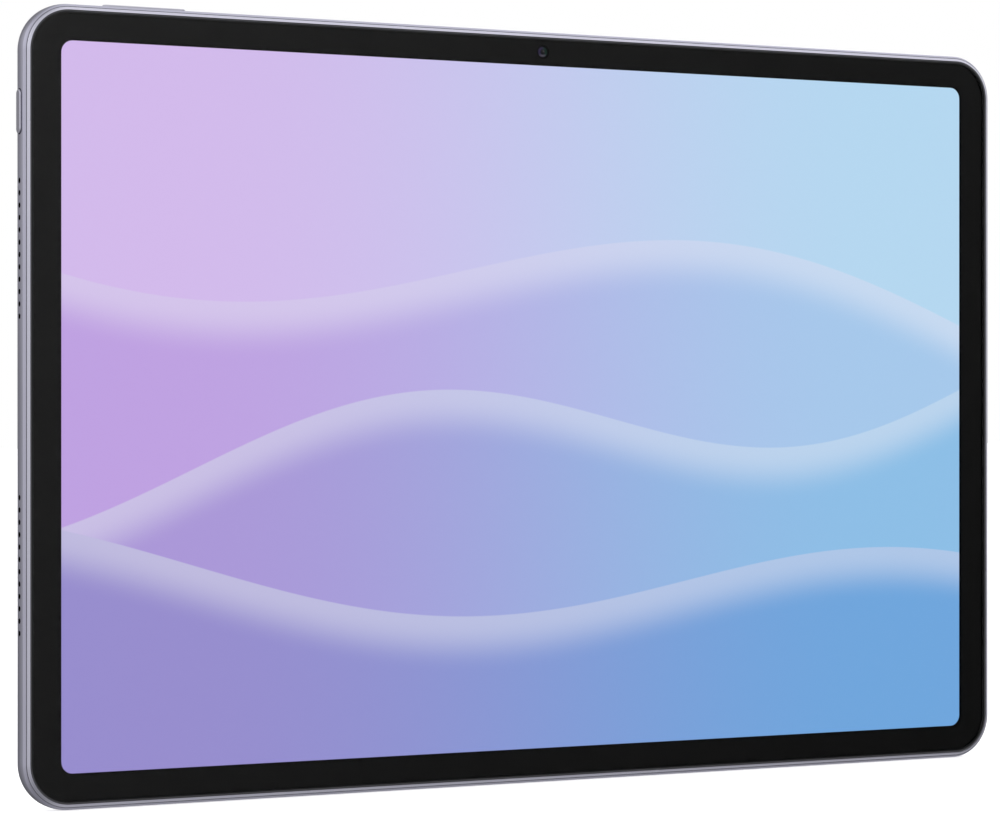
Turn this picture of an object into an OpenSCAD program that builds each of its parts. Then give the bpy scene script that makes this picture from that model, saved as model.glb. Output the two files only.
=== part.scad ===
// Slim tablet computer standing upright on its long edge.
// Every sub-part is drawn lying on its back: x to the right and y up as the screen is seen,
// z from the back face towards the viewer. upright() then stands it on its long edge.

/* [Body] */
// Length of the long edge
body_w = 261; // [255:0.5:270]
// Length of the short edge
body_h = 177.3; // [175:0.1:185]
// Thickness from back face to front glass
body_t = 6.1; // [6.1:0.1:6.6]
// Radius of the four outer corners, seen from the front
corner_r = 10.6; // [10:0.1:12]
// Rounding where the sides meet the back
back_edge_r = 2.1; // [1.6:0.1:2.3]
// Thickness of the back plate
back_t = 0.8; // [0.7:0.05:0.8]
// Thickness of the side walls
wall_t = 3.5; // [3.4:0.1:3.6]

/* [Front] */
// Width of the metal rim round the front, from the side wall to the dark ring
lip_w = 1.4; // [1.35:0.05:1.5]
// Rounding where the sides meet the bright lip
front_edge_r = 0.8; // [0.7:0.05:0.85]
// How far the lip slopes back at its outer edge
lip_slope = 0.55; // [0.5:0.05:0.6]
// Width of the dark ring between lip and glass
gasket_w = 0.45; // [0.35:0.05:0.5]
// Thickness of the front glass
glass_t = 0.65; // [0.6:0.05:0.7]
// Width of the lit picture
screen_w = 243; // [240:0.5:243.5]
// Height of the lit picture
screen_h = 161.2; // [158:0.1:162.5]
// Radius of the picture's corners
screen_corner_r = 2.7; // [2:0.1:5]
// Unlit gap between the picture and the edge of the black print
picture_gap = 0.3; // [0.1:0.05:0.4]

/* [Speakers] */
// Round holes in each row
row_holes = 12; // [6:1:12]
// Diameter of each hole
hole_d = 1.2; // [0.8:0.1:1.3]
// Distance from hole to hole
hole_pitch = 2.7; // [2:0.1:2.7]
// Distance from mid-height to the first hole of a row
row_start = 19.85; // [19:0.05:20.5]

/* [Buttons] */
// Length of the power key
power_len = 9.7; // [8:0.1:10]
// Height of the power key above mid-height
power_y = 64.7; // [64:0.1:65.5]
// Length of the volume rocker
volume_len = 19.8; // [18:0.1:20]
// Place of the volume rocker along the top edge
volume_x = -101; // [-101.5:0.1:-100.5]
// Width of both keys, across the thickness
key_w = 2.2; // [2:0.1:2.3]
// How far both keys stand out of the edge
key_proud = 0.4; // [0.3:0.05:0.5]

/* [Port] */
// Width of the charging port's metal shell
port_w = 8.94; // [8.9:0.01:9]
// Height of the charging port's metal shell
port_h = 3.16; // [3.1:0.01:3.2]
// Depth of the charging port's metal shell
port_depth = 7.3; // [7:0.1:7.4]

/* [Rear camera] */
// Outer radius of the raised ring on the back
ring_r = 10.5; // [10:0.1:11]
// How far the ring stands out of the back
ring_proud = 0.9; // [0.6:0.1:1.2]
// Place of the ring along the long edge
ring_x = -111; // [-111.5:0.1:-110.5]
// Height of the ring above mid-height
ring_y = 68.5; // [68:0.1:68.8]

/* [Hidden] */

$fn = 64;
cut = 0.5;                       // how far a cutter runs past the face it opens

// Layers, by the height of their undersides above the back face
mid_z = body_t / 2;
glass_z = body_t - glass_t;
mask_t = 0.05;
mask_z = glass_z - mask_t;
bond_t = 0.1;
bond_z = mask_z - bond_t;
cell_t = 0.42;
cell_z = bond_z - cell_t;
films_t = 0.16;
films_z = cell_z - films_t;
guide_t = 0.35;
guide_z = films_z - guide_t;
reflector_t = 0.07;
reflector_z = guide_z - reflector_t;
tray_t = 0.1;
tray_z = reflector_z - tray_t;

// Section of the front edge: an arc, and then the lip
lip_top = body_t - 0.05;
lip_low = lip_top - lip_slope;
front_turn = 72;                 // degrees that the arc turns before the lip starts
lip_start = front_edge_r * (1 - cos(front_turn));
front_v = lip_low - front_edge_r * sin(front_turn);

// Outlines, as half sizes unless they end in _w, _h or _r
half_w = body_w / 2;
half_h = body_h / 2;
inner_x = half_w - wall_t;       // inside faces of the side walls
inner_y = half_h - wall_t;
inner_r = corner_r - wall_t;
recess_inset = lip_w;            // the step that the gasket and the glass lie in
glass_inset = lip_w + gasket_w;
glass_w = body_w - 2 * glass_inset;
glass_h = body_h - 2 * glass_inset;
glass_r = corner_r - glass_inset;
ledge_z = glass_z - 0.15;        // the glass bonds to the wall's ledge across this gap
gasket_drop = 0.08;              // how far the dark ring's top lies below the glass
cell_side = 1.2;                 // dark edge of the cell beyond the picture
cell_top = 0.9;
cell_bottom = 3;
tray_rim = 0.15;

// Inner pieces
board_z = 1.6;                   // underside of every circuit board
board_t = 0.6;
board_top = board_z + board_t;
spreader_t = 0.1;
battery_t = 2.9;
battery_w = 76;
battery_h = 136;
battery_r = 2;
battery_y = -6;
battery_x = [-19, 60];
tab_t = 0.1;                     // battery tabs
flex_t = 0.1;                    // every thin cable
link_z = 3.85;                   // underside of the cable over the batteries
shield_top = 3.5;
shield_t = 0.2;
speaker_x = 108;                 // how far out the speaker boxes start
speaker_half = 18;
speaker_mouth = 2.6;             // depth of the box's mouth from the side wall
mesh_t = 0.3;
screw_r = 0.5;
screw_head_r = 1;
screw_head_t = 0.35;
screw_depth = 1.1;
boss_r = 1.4;
foot_z = 1.4;
foot_t = 0.5;
port_z = mid_z;
key_gap = 0.15;                  // clearance round each key in its slot
key_wall = 1.2;                  // wall left in front of a key's pocket
pocket_z = 1.2;
pocket_top = 4.9;
flange_t = 0.5;
flange_gap = 0.1;
nub_t = 0.6;
dome_t = 0.35;
dome_gap = 0.3;
rocker_gap = 0.15;               // room between the rocker's flange and the wall
rocker_nub_t = 0.3;
rocker_nub_x = 7;                // distance of each nub from the rocker's middle
rib_r = 0.4;
dome_r = 1.1;
bracket_t = 0.6;
camera_y = (screen_h / 2 + glass_h / 2) / 2 + 0.15;
camera_room = 5.6;
camera_window_r = 1.65;
lens_r = 1.85;
mic_x = 40;
mic_d = 0.8;

// Height of each switch body, so that its dome stops just short of the resting nub
dome_base = wall_t - key_wall - flange_gap - flange_t - nub_t - dome_gap - dome_t;
rib_h = wall_t - key_wall - flange_gap - rocker_gap - flange_t - 0.02;
volume_base = wall_t - key_wall - flange_gap - rocker_gap - flange_t - rocker_nub_t - dome_gap
              - dome_t;

// Places of the screws: x, y and the height of the face under each head
main_x = -83;
main_y = 22;
main_w = 42;
main_h = 104;
board_screws = [for (sx = [-1, 1], sy = [-1, 1])
                [main_x + sx * (main_w / 2 - 3), main_y + sy * (main_h / 2 - 3), board_top]];
port_screws = [for (sy = [-1, 1]) [111, sy * 9.5, board_top]];
power_feet = [for (sy = [-1, 1]) [-inner_x + 3.2, power_y + sy * 6.5, foot_z + foot_t]];
volume_feet = [for (sx = [-1, 1]) [volume_x + sx * 10, inner_y - 3.2, foot_z + foot_t]];
screw_spots = concat(board_screws, port_screws, power_feet, volume_feet);

module upright() {
    translate([0, body_t / 2, half_h]) rotate([90, 0, 0]) children();
}

// Rectangle with round corners, centred
module round_rect(w, h, r) {
    square([w - 2 * r, h], center = true);
    square([w, h - 2 * r], center = true);
    for (sx = [-1, 1], sy = [-1, 1])
        translate([sx * (w / 2 - r), sy * (h / 2 - r)]) circle(r);
}

module plate(w, h, r, z, t) {
    translate([0, 0, z]) linear_extrude(t) round_rect(w, h, r);
}

// Box given by its lowest corner and its highest corner
module block(low, high) {
    translate(low) cube(high - low);
}

// Bar with round ends, long along x, standing on z = 0
module slot_bar(len, w, t) {
    linear_extrude(t) {
        square([len - w, w], center = true);
        for (s = [-1, 1]) translate([s * (len - w) / 2, 0]) circle(w / 2);
    }
}

// Turns a bar drawn along x and z so that it points out of the left or the top wall
module at_left_wall(y, z) {
    translate([0, y, z]) rotate([0, -90, 0]) rotate([0, 0, 90]) children();
}

module at_top_wall(x, z) {
    translate([x, 0, z]) rotate([-90, 0, 0]) children();
}

// ---- Housing ----

// Section of the rim: u runs out from a corner's centre, v from the back to the front
module rim_section() {
    translate([0, back_edge_r]) square([corner_r, front_v - back_edge_r]);
    square([corner_r - back_edge_r, front_v]);
    translate([corner_r - back_edge_r, back_edge_r]) circle(back_edge_r);
    translate([corner_r - front_edge_r, front_v]) circle(front_edge_r);
    polygon([[0, front_v], [corner_r - front_edge_r, front_v], [corner_r - lip_start, lip_low],
             [corner_r - lip_w, lip_top], [0, lip_top]]);
}

module rim_edge(len) {
    translate([0, len / 2, 0]) rotate([90, 0, 0]) linear_extrude(len) rim_section();
}

module outer_block() {
    cx = half_w - corner_r;
    cy = half_h - corner_r;
    for (q = [0 : 3])
        translate([q == 0 || q == 3 ? cx : -cx, q < 2 ? cy : -cy, 0])
            rotate([0, 0, 90 * q]) rotate_extrude(angle = 90, $fn = 96) rim_section();
    for (s = [0, 180]) rotate([0, 0, s]) {
        translate([cx, 0, 0]) rim_edge(2 * cy);
        translate([0, cy, 0]) rotate([0, 0, 90]) rim_edge(2 * cx);
    }
    block([-cx, -cy, 0], [cx, cy, lip_top]);
}

module speaker_holes() {
    for (side = [-1, 1], row = [-1, 1], i = [0 : row_holes - 1])
        translate([side * (half_w + cut), row * (row_start + i * hole_pitch), mid_z])
            rotate([0, -side * 90, 0]) cylinder(h = wall_t + 2 * cut, d = hole_d, $fn = 24);
}

module key_openings() {
    // power key on the left wall
    translate([-half_w + 2, 0, 0]) at_left_wall(power_y, mid_z)
        slot_bar(power_len + 2 * key_gap, key_w + 2 * key_gap, 2 + cut);
    block([-half_w + key_wall, power_y - 7, pocket_z], [-inner_x + cut, power_y + 7, pocket_top]);
    // volume rocker on the top wall
    translate([0, half_h - 2, 0]) at_top_wall(volume_x, mid_z)
        slot_bar(volume_len + 2 * key_gap, key_w + 2 * key_gap, 2 + cut);
    block([volume_x - 12, inner_y - cut, pocket_z], [volume_x + 12, half_h - key_wall, pocket_top]);
}

module rear_housing() {
    color([0.70, 0.69, 0.76]) upright() {
        difference() {
            outer_block();
            plate(2 * inner_x, 2 * inner_y, inner_r, back_t, body_t);
            plate(body_w - 2 * recess_inset, body_h - 2 * recess_inset,
                  corner_r - recess_inset, ledge_z, body_t);
            speaker_holes();
            key_openings();
            // charging port in the right wall
            translate([inner_x - cut, 0, port_z]) rotate([0, 90, 0]) rotate([0, 0, 90])
                slot_bar(port_w + 0.1, port_h + 0.1, wall_t + 2 * cut);
            // microphone in the top wall
            translate([mic_x, inner_y - cut, mid_z]) rotate([-90, 0, 0])
                cylinder(h = wall_t + 2 * cut, d = mic_d);
            // rear camera neck, and room for the front camera
            translate([ring_x, ring_y, -cut]) cylinder(h = back_t + 2 * cut, r = ring_r - 1.5);
            block([-camera_room / 2, inner_y - cut, back_t],
                  [camera_room / 2, camera_y + camera_room / 2, ledge_z + cut]);
        }
        screw_bosses();
    }
}

// Posts that the boards and brackets stand on, with a blind hole for each screw
module screw_bosses() {
    for (s = concat(board_screws, port_screws)) screw_boss(s, board_z);
    for (s = concat(power_feet, volume_feet)) screw_boss(s, foot_z);
}

module screw_boss(spot, top) {
    bottom = spot[2] - screw_depth;
    translate([spot[0], spot[1], 0]) difference() {
        translate([0, 0, back_t]) cylinder(h = top - back_t, r = boss_r);
        translate([0, 0, bottom]) cylinder(h = top - bottom + cut, r = screw_r);
    }
}

// ---- Front stack ----

module ring_plate(w, h, r, inset, z, t) {
    difference() {
        plate(w, h, r, z, t);
        plate(w - 2 * inset, h - 2 * inset, max(r - inset, 1), z - cut, t + 2 * cut);
    }
}

module glass_gasket() {
    // fills the step round the glass, and its foot bonds the glass to the ledge
    color([0.12, 0.12, 0.14]) upright() {
        ring_plate(body_w - 2 * recess_inset, body_h - 2 * recess_inset,
                   corner_r - recess_inset, gasket_w, ledge_z, body_t - gasket_drop - ledge_z);
        ring_plate(body_w - 2 * recess_inset, body_h - 2 * recess_inset,
                   corner_r - recess_inset, 1.2, ledge_z, mask_z - ledge_z);
    }
}

module cover_glass() {
    // plain slab with a rounded front edge, stepped in two thin bevels
    bevel = 0.2;
    color([0.1, 0.1, 0.12, 0.4]) upright() {
        plate(glass_w, glass_h, glass_r, glass_z, glass_t - bevel);
        plate(glass_w - bevel, glass_h - bevel, glass_r - bevel / 2, body_t - bevel, bevel);
    }
}

module border_mask() {
    color([0.02, 0.02, 0.02]) upright() difference() {
        plate(glass_w - 0.4, glass_h - 0.4, glass_r - 0.2, mask_z, mask_t);
        plate(screen_w + 2 * picture_gap, screen_h + 2 * picture_gap,
              screen_corner_r + picture_gap, mask_z - cut, mask_t + 2 * cut);
        translate([0, camera_y, mask_z - cut]) cylinder(h = mask_t + 2 * cut, r = camera_window_r);
    }
}

module cell_outline(extra, z, t) {
    translate([0, (cell_top - cell_bottom) / 2, 0])
        plate(screen_w + 2 * (cell_side + extra),
              screen_h + cell_top + cell_bottom + 2 * extra, screen_corner_r, z, t);
}

module optical_bond() {
    color([0.85, 0.9, 0.95, 0.3]) upright()
        cell_outline(-0.5, bond_z, bond_t);
}

module display_panel() {
    color([0.69, 0.84, 0.93]) upright() cell_outline(0, cell_z, cell_t);
}

module optical_films() {
    color([0.93, 0.93, 0.95]) upright() cell_outline(0, films_z, films_t);
}

module light_guide() {
    color([0.9, 0.93, 0.9, 0.6]) upright() difference() {
        cell_outline(0, guide_z, guide_t);
        block([-half_w, -half_h, guide_z - cut], [half_w, -screen_h / 2 - 0.6, films_z + cut]);
    }
}

module led_bar() {
    // row of small lamps along the lower edge of the light guide
    lamps = 40;
    pitch = (screen_w - 8) / lamps;
    bar_y = -screen_h / 2 - 2.7;
    color([0.95, 0.9, 0.6]) upright() {
        block([-screen_w / 2 + 2, bar_y, guide_z], [screen_w / 2 - 2, bar_y + 1.1, guide_z + 0.12]);
        for (i = [0 : lamps - 1])
            translate([(i - lamps / 2 + 0.5) * pitch, bar_y + 1.5, guide_z + 0.16])
                cube([3, 0.8, 0.32], center = true);
    }
}

module reflector_sheet() {
    color([0.96, 0.96, 0.96]) upright() cell_outline(0, reflector_z, reflector_t);
}

module backlight_frame() {
    // shallow steel tray that holds the backlight layers
    color([0.6, 0.6, 0.62]) upright() difference() {
        cell_outline(tray_rim, tray_z, cell_z - tray_z);
        cell_outline(0, reflector_z, body_t);
    }
}

module display_flex() {
    // folds down over the tray's lower edge and runs to the connector on the main board
    edge_y = -screen_h / 2 - cell_bottom - tray_rim;
    low_z = tray_z - 0.05 - flex_t;
    board_y = main_y - main_h / 2;
    color([0.75, 0.45, 0.15]) upright() {
        block([-95, edge_y - flex_t, low_z], [-71, edge_y, cell_z]);
        block([-95, edge_y - flex_t, low_z], [-71, board_y + 2, low_z + flex_t]);
        block([-92, board_y + 7, board_top], [-74, board_y + 11, low_z]);
        block([-95, board_y + 2, low_z], [-71, board_y + 11, low_z + flex_t]);
    }
}

// ---- Battery ----

module battery_cell(x) {
    color([0.16, 0.16, 0.18]) upright()
        translate([x, battery_y, 0])
            plate(battery_w, battery_h, battery_r, back_t + spreader_t, battery_t);
}

module battery_left() { battery_cell(battery_x[0]); }

module battery_right() { battery_cell(battery_x[1]); }

module battery_board() {
    color([0.1, 0.35, 0.2]) upright() {
        block([-56, 62.6, board_z], [97, 67, board_top]);
        block([-58, 62.6, board_top], [-50, 67, 3.4]);
        for (x = battery_x, s = [-1, 1])
            translate([x + s * 14, 0, 2.4]) block([-3, 62, 0], [3, 65, tab_t]);
    }
}

module heat_spreader() {
    color([0.25, 0.25, 0.27]) upright()
        block([-58, -76, back_t], [99, 64, back_t + spreader_t]);
}

// ---- Boards ----

module drilled_board(low, high, spots) {
    difference() {
        block(low, high);
        for (s = spots)
            translate([s[0], s[1], low[2] - cut]) cylinder(h = board_t + 2 * cut, r = screw_r + 0.1);
    }
}

module main_board() {
    x0 = main_x - main_w / 2;
    y0 = main_y - main_h / 2;
    chip_spots = [[8, 16], [24, 18], [33, 30], [16, 99.5], [30, 99.5]];
    color([0.08, 0.3, 0.22]) upright() {
        drilled_board([x0, y0, board_z], [x0 + main_w, y0 + main_h, board_top], board_screws);
        for (s = chip_spots)
            translate([x0 + s[0], y0 + s[1], board_top]) block([-2, -1.5, 0], [2, 1.5, 0.7]);
    }
}

module shield(x0, y0, w, h) {
    color([0.75, 0.75, 0.77]) upright() difference() {
        block([x0, y0, board_top], [x0 + w, y0 + h, shield_top]);
        block([x0 + shield_t, y0 + shield_t, board_top - cut],
              [x0 + w - shield_t, y0 + h - shield_t, shield_top - shield_t]);
    }
}

module processor_shield() { shield(-100, 14, 34, 32); }

module power_shield() { shield(-98, 50, 30, 16); }

module usb_board() {
    x1 = half_w - port_depth - 0.4;
    color([0.08, 0.3, 0.22]) upright() {
        drilled_board([107, -13, board_z], [x1, 13, board_top], port_screws);
        block([108.5, -3, board_top], [113.5, 3, 3.2]);
    }
}

module usb_shell() {
    // metal sleeve with round ends, open towards the plug
    color([0.8, 0.8, 0.82]) upright()
        translate([half_w - 0.2 - port_depth, 0, port_z]) rotate([0, 90, 0]) rotate([0, 0, 90])
            difference() {
                slot_bar(port_w, port_h, port_depth);
                translate([0, 0, -cut]) slot_bar(port_w - 0.6, port_h - 0.6, port_depth + 2 * cut);
            }
}

module usb_tongue() {
    // insulator block at the back of the sleeve with the contact tongue
    back_x = half_w - 0.2 - port_depth;
    color([0.1, 0.1, 0.11]) upright() {
        translate([back_x, 0, port_z]) rotate([0, 90, 0]) rotate([0, 0, 90])
            slot_bar(port_w - 0.6, port_h - 0.6, 1.2);
        block([back_x + 1.2, -3.3, port_z - 0.35], [half_w - 1, 3.3, port_z + 0.35]);
        block([back_x - 1.4, -3.6, board_top], [back_x, 3.6, board_top + 1.5]);
    }
}

module link_flex() {
    // runs between the batteries and the display from the main board to the port board
    color([0.75, 0.45, 0.15]) upright() {
        block([-66, -6, link_z], [112.5, 0, link_z + flex_t]);
        block([-66, -6, board_top], [-63, 0, link_z]);
        block([109.5, -2.5, 3.2], [112.5, 0, link_z]);
    }
}

// ---- Speakers ----

// One speaker box: its mouth faces the side wall behind a row of holes
module speaker_box(side, row) {
    row_len = (row_holes - 1) * hole_pitch;
    row_mid = row_start + row_len / 2;
    mouth = row_len + hole_d + 0.8;
    color([0.07, 0.07, 0.08]) upright()
        mirror([side < 0 ? 1 : 0, 0, 0]) translate([0, row * row_mid, 0]) difference() {
            union() {
                block([speaker_x, -speaker_half, back_t],
                      [inner_x - speaker_mouth, speaker_half, 3.6]);
                block([inner_x - speaker_mouth, -speaker_half, back_t],
                      [inner_x - mesh_t, speaker_half, 4.8]);
            }
            block([inner_x - speaker_mouth + 0.4, -mouth / 2, mid_z - 0.8],
                  [inner_x, mouth / 2, mid_z + 0.8]);
        }
}

module speaker_upper_left() { speaker_box(-1, 1); }

module speaker_lower_left() { speaker_box(-1, -1); }

module speaker_upper_right() { speaker_box(1, 1); }

module speaker_lower_right() { speaker_box(1, -1); }

module speaker_mesh() {
    row_len = (row_holes - 1) * hole_pitch;
    row_mid = row_start + row_len / 2;
    half_len = row_len / 2 + 1.6;
    color([0.15, 0.15, 0.16]) upright()
        for (side = [0, 1], row = [-1, 1])
            mirror([side, 0, 0]) translate([0, row * row_mid, 0])
                block([inner_x - mesh_t, -half_len, mid_z - 1.1],
                      [inner_x, half_len, mid_z + 1.1]);
}

// ---- Keys ----

// Stack behind the wall: flange, nub, gap, dome, switch and bracket
module key_flange(len) {
    translate([0, 0, -flange_t]) slot_bar(len, key_w + 1, flange_t);
}

module power_button() {
    flange_x = -half_w + key_wall + flange_gap;
    color([0.68, 0.67, 0.74]) upright() {
        translate([flange_x, 0, 0]) at_left_wall(power_y, mid_z) {
            slot_bar(power_len, key_w, key_wall + flange_gap + key_proud);
            key_flange(power_len + 2);
            translate([0, 0, -flange_t - nub_t]) cylinder(h = nub_t, r = 0.8);
        }
    }
}

// Switch with its body on the bracket and its dome under the key's nub
module switch_body(base) {
    block([-2, -1.3, 0], [2, 1.3, base]);
    translate([0, 0, base]) cylinder(h = dome_t, r = dome_r);
}

module power_switch() {
    face = -inner_x;
    color([0.8, 0.75, 0.5]) upright()
        translate([face, 0, 0]) at_left_wall(power_y, mid_z) {
            switch_body(dome_base);
        }
}

module power_bracket() {
    wall_x = -inner_x;
    color([0.62, 0.62, 0.64]) upright() difference() {
        union() {
            block([wall_x, power_y - 9, foot_z], [wall_x + bracket_t, power_y + 9, 4.6]);
            block([wall_x, power_y - 9, foot_z], [wall_x + 5, power_y + 9, foot_z + foot_t]);
        }
        foot_holes(power_feet);
    }
}

module foot_holes(spots) {
    for (s = spots)
        translate([s[0], s[1], foot_z - cut]) cylinder(h = foot_t + 2 * cut, r = screw_r + 0.1);
}

module volume_rocker() {
    color([0.68, 0.67, 0.74]) upright()
        translate([0, half_h - key_wall - flange_gap - rocker_gap, 0])
            at_top_wall(volume_x, mid_z) {
                slot_bar(volume_len, key_w, key_wall + flange_gap + rocker_gap + key_proud);
                key_flange(volume_len + 1.6);
                for (s = [-1, 1])
                    translate([s * rocker_nub_x, 0, -flange_t - rocker_nub_t])
                        cylinder(h = rocker_nub_t, r = 0.7);
            }
}

module volume_switches() {
    color([0.8, 0.75, 0.5]) upright()
        translate([0, inner_y, 0]) at_top_wall(volume_x, mid_z)
            for (s = [-1, 1]) translate([s * rocker_nub_x, 0, 0]) switch_body(volume_base);
}

module volume_bracket() {
    // its middle rib is the line that the rocker tilts on
    color([0.62, 0.62, 0.64]) upright() difference() {
        union() {
            block([volume_x - 12.5, inner_y - bracket_t, foot_z], [volume_x + 12.5, inner_y, 4.6]);
            block([volume_x - 12.5, inner_y - 5, foot_z],
                  [volume_x + 12.5, inner_y, foot_z + foot_t]);
            translate([volume_x, inner_y, mid_z - 1.1]) {
                block([-rib_r, 0, 0], [rib_r, rib_h - rib_r, 2.2]);
                translate([0, rib_h - rib_r, 0]) cylinder(h = 2.2, r = rib_r);
            }
        }
        foot_holes(volume_feet);
    }
}

module button_flex() {
    // thin cable on the inner faces of both brackets, round the corner and down to the board
    power_face = -inner_x + bracket_t;
    volume_face = inner_y - bracket_t;
    top = 4;
    color([0.75, 0.45, 0.15]) upright() {
        block([power_face, power_y - 4, 2.2], [power_face + flex_t, power_y + 4, top]);
        block([volume_x - 9, volume_face - flex_t, 2.2], [volume_x + 9, volume_face, top]);
        block([volume_x + 4, 71.5, top - flex_t], [volume_x + 9, volume_face, top]);
        block([volume_x + 4, 69.5, board_top], [volume_x + 9, 71.5, top]);
    }
}

// ---- Cameras, sensors, aerials ----

module front_camera_module() {
    color([0.06, 0.06, 0.07]) upright() {
        block([-2.6, camera_y - 2.6, back_t], [2.6, camera_y + 2.6, tray_z - 0.1]);
        translate([0, camera_y, tray_z - 0.1]) cylinder(h = cell_z - tray_z + 0.1, r = 1.9);
    }
}

module front_camera_lens() {
    color([0.1, 0.08, 0.16]) upright()
        translate([0, camera_y, cell_z]) cylinder(h = mask_z - cell_z - 0.03, r = lens_r);
}

module light_sensor() {
    color([0.2, 0.2, 0.22]) upright()
        block([8, inner_y - 2.6, cell_z - 0.4], [11, inner_y - 0.6, mask_z]);
}

module microphones() {
    color([0.75, 0.7, 0.5]) upright() {
        block([mic_x - 1.8, inner_y - 1.1, mid_z - 1.3], [mic_x + 1.8, inner_y, mid_z + 1.1]);
        block([115, 5, board_top], [118, 8, board_top + 1]);
    }
}

module rear_camera_ring() {
    color([0.66, 0.65, 0.72]) upright() translate([ring_x, ring_y, 0])
        rotate_extrude($fn = 96) {
            translate([ring_r - 2.5, -ring_proud]) square([2.2, ring_proud]);
            translate([ring_r - 2.5, -ring_proud + 0.3]) square([2.5, ring_proud - 0.3]);
            translate([ring_r - 0.3, -ring_proud + 0.3]) circle(0.3);
            translate([ring_r - 2.5, -ring_proud]) square([0.95, ring_proud + back_t]);
        }
}

module rear_camera_glass() {
    color([0.05, 0.05, 0.07]) upright()
        translate([ring_x, ring_y, -ring_proud + 0.1]) cylinder(h = 0.5, r = ring_r - 2.52);
}

module rear_camera_module() {
    top = tray_z - 0.15;
    color([0.08, 0.08, 0.09]) upright() translate([ring_x, ring_y, 0]) {
        block([-4.8, -4.8, back_t + 0.1], [4.8, 4.8, top]);
        translate([0, 0, -ring_proud + 0.6]) cylinder(h = back_t + ring_proud - 0.5, r = 3.6);
    }
}

module flash_lamp() {
    color([0.95, 0.93, 0.8]) upright()
        translate([ring_x + 5.6, ring_y, -ring_proud + 0.6])
            cylinder(h = ring_proud + back_t - 0.5, r = 1.2);
}

module antenna(x0, x1) {
    color([0.55, 0.4, 0.2]) upright()
        block([x0, inner_y - 2.4, 1.2], [x1, inner_y - 0.2, 4.1]);
}

module antenna_left() { antenna(-80, -50); }

module antenna_right() { antenna(70, 100); }

module screws() {
    color([0.7, 0.7, 0.72]) upright()
        for (s = screw_spots) translate(s) {
            difference() {
                cylinder(h = screw_head_t, r = screw_head_r);
                translate([0, 0, screw_head_t - 0.2]) cube([1.2, 0.25, 0.5], center = true);
            }
            translate([0, 0, -screw_depth]) cylinder(h = screw_depth, r = screw_r - 0.01);
        }
}

rear_housing();
glass_gasket();
cover_glass();
border_mask();
optical_bond();
display_panel();
optical_films();
light_guide();
reflector_sheet();
led_bar();
backlight_frame();
display_flex();
battery_left();
battery_right();
battery_board();
heat_spreader();
main_board();
processor_shield();
power_shield();
usb_board();
usb_shell();
usb_tongue();
link_flex();
speaker_upper_left();
speaker_lower_left();
speaker_upper_right();
speaker_lower_right();
speaker_mesh();
power_button();
power_bracket();
power_switch();
volume_rocker();
volume_bracket();
volume_switches();
button_flex();
front_camera_module();
front_camera_lens();
light_sensor();
microphones();
rear_camera_ring();
rear_camera_glass();
rear_camera_module();
flash_lamp();
antenna_left();
antenna_right();
screws();
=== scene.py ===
"""Looks of a slim tablet computer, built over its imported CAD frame.

The frame stands the tablet on its long edge: +X to the right as the screen is seen, +Y from the
screen towards the back, +Z up. Each sub-assembly is a class that builds its pieces and dresses
them, and each finish is a small frozen class.
"""

import logging
import math
from dataclasses import dataclass, field
from enum import Enum

import bmesh
import bpy
from mathutils import Matrix, Vector


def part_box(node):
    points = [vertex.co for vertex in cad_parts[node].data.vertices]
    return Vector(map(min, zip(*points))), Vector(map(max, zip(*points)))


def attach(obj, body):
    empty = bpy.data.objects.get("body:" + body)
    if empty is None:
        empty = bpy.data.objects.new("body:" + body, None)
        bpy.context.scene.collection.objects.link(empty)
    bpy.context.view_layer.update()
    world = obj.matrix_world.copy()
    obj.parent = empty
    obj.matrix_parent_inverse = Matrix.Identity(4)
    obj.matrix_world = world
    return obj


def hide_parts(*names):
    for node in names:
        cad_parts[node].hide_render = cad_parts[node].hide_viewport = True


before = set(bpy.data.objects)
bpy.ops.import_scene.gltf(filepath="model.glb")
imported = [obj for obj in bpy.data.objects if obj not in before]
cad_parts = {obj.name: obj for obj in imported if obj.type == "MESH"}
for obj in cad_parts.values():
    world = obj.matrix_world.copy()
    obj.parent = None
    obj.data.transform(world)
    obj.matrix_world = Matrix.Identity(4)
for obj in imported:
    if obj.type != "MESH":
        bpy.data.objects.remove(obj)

LOG = logging.getLogger("tablet")
MM = 0.001

Socket = bpy.types.NodeSocket
Profile = list[tuple[float, float]]
Colour = tuple[float, float, float]


def srgb(red: float, green: float, blue: float) -> Colour:
    """Turns a display colour into the linear colour that shaders work in.

    Args:
        red: Red from 0 to 255.
        green: Green from 0 to 255.
        blue: Blue from 0 to 255.

    Returns:
        The linear colour, each part from 0 to 1.
    """
    parts = (value / 255 for value in (red, green, blue))
    return tuple(p / 12.92 if p <= 0.04045 else ((p + 0.055) / 1.055) ** 2.4 for p in parts)


# ---------------------------------------------------------------- places


class Facing(Enum):
    """Which way a piece's own height axis points, with the two axes across it."""

    FRONT = ((1, 0, 0), (0, 0, 1), (0, -1, 0))
    BACK = ((1, 0, 0), (0, 0, -1), (0, 1, 0))
    LEFT = ((0, 0, 1), (0, 1, 0), (-1, 0, 0))
    RIGHT = ((0, 0, 1), (0, -1, 0), (1, 0, 0))
    TOP = ((1, 0, 0), (0, 1, 0), (0, 0, 1))

    def at(self, place: Vector) -> Matrix:
        """Gives the matrix that sets a piece at a place, facing this way.

        Args:
            place: Where the piece's own origin goes, in metres.

        Returns:
            The matrix from the piece's axes to the frame's.
        """
        turned = Matrix(self.value).transposed().to_4x4()
        return Matrix.Translation(place) @ turned


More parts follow.
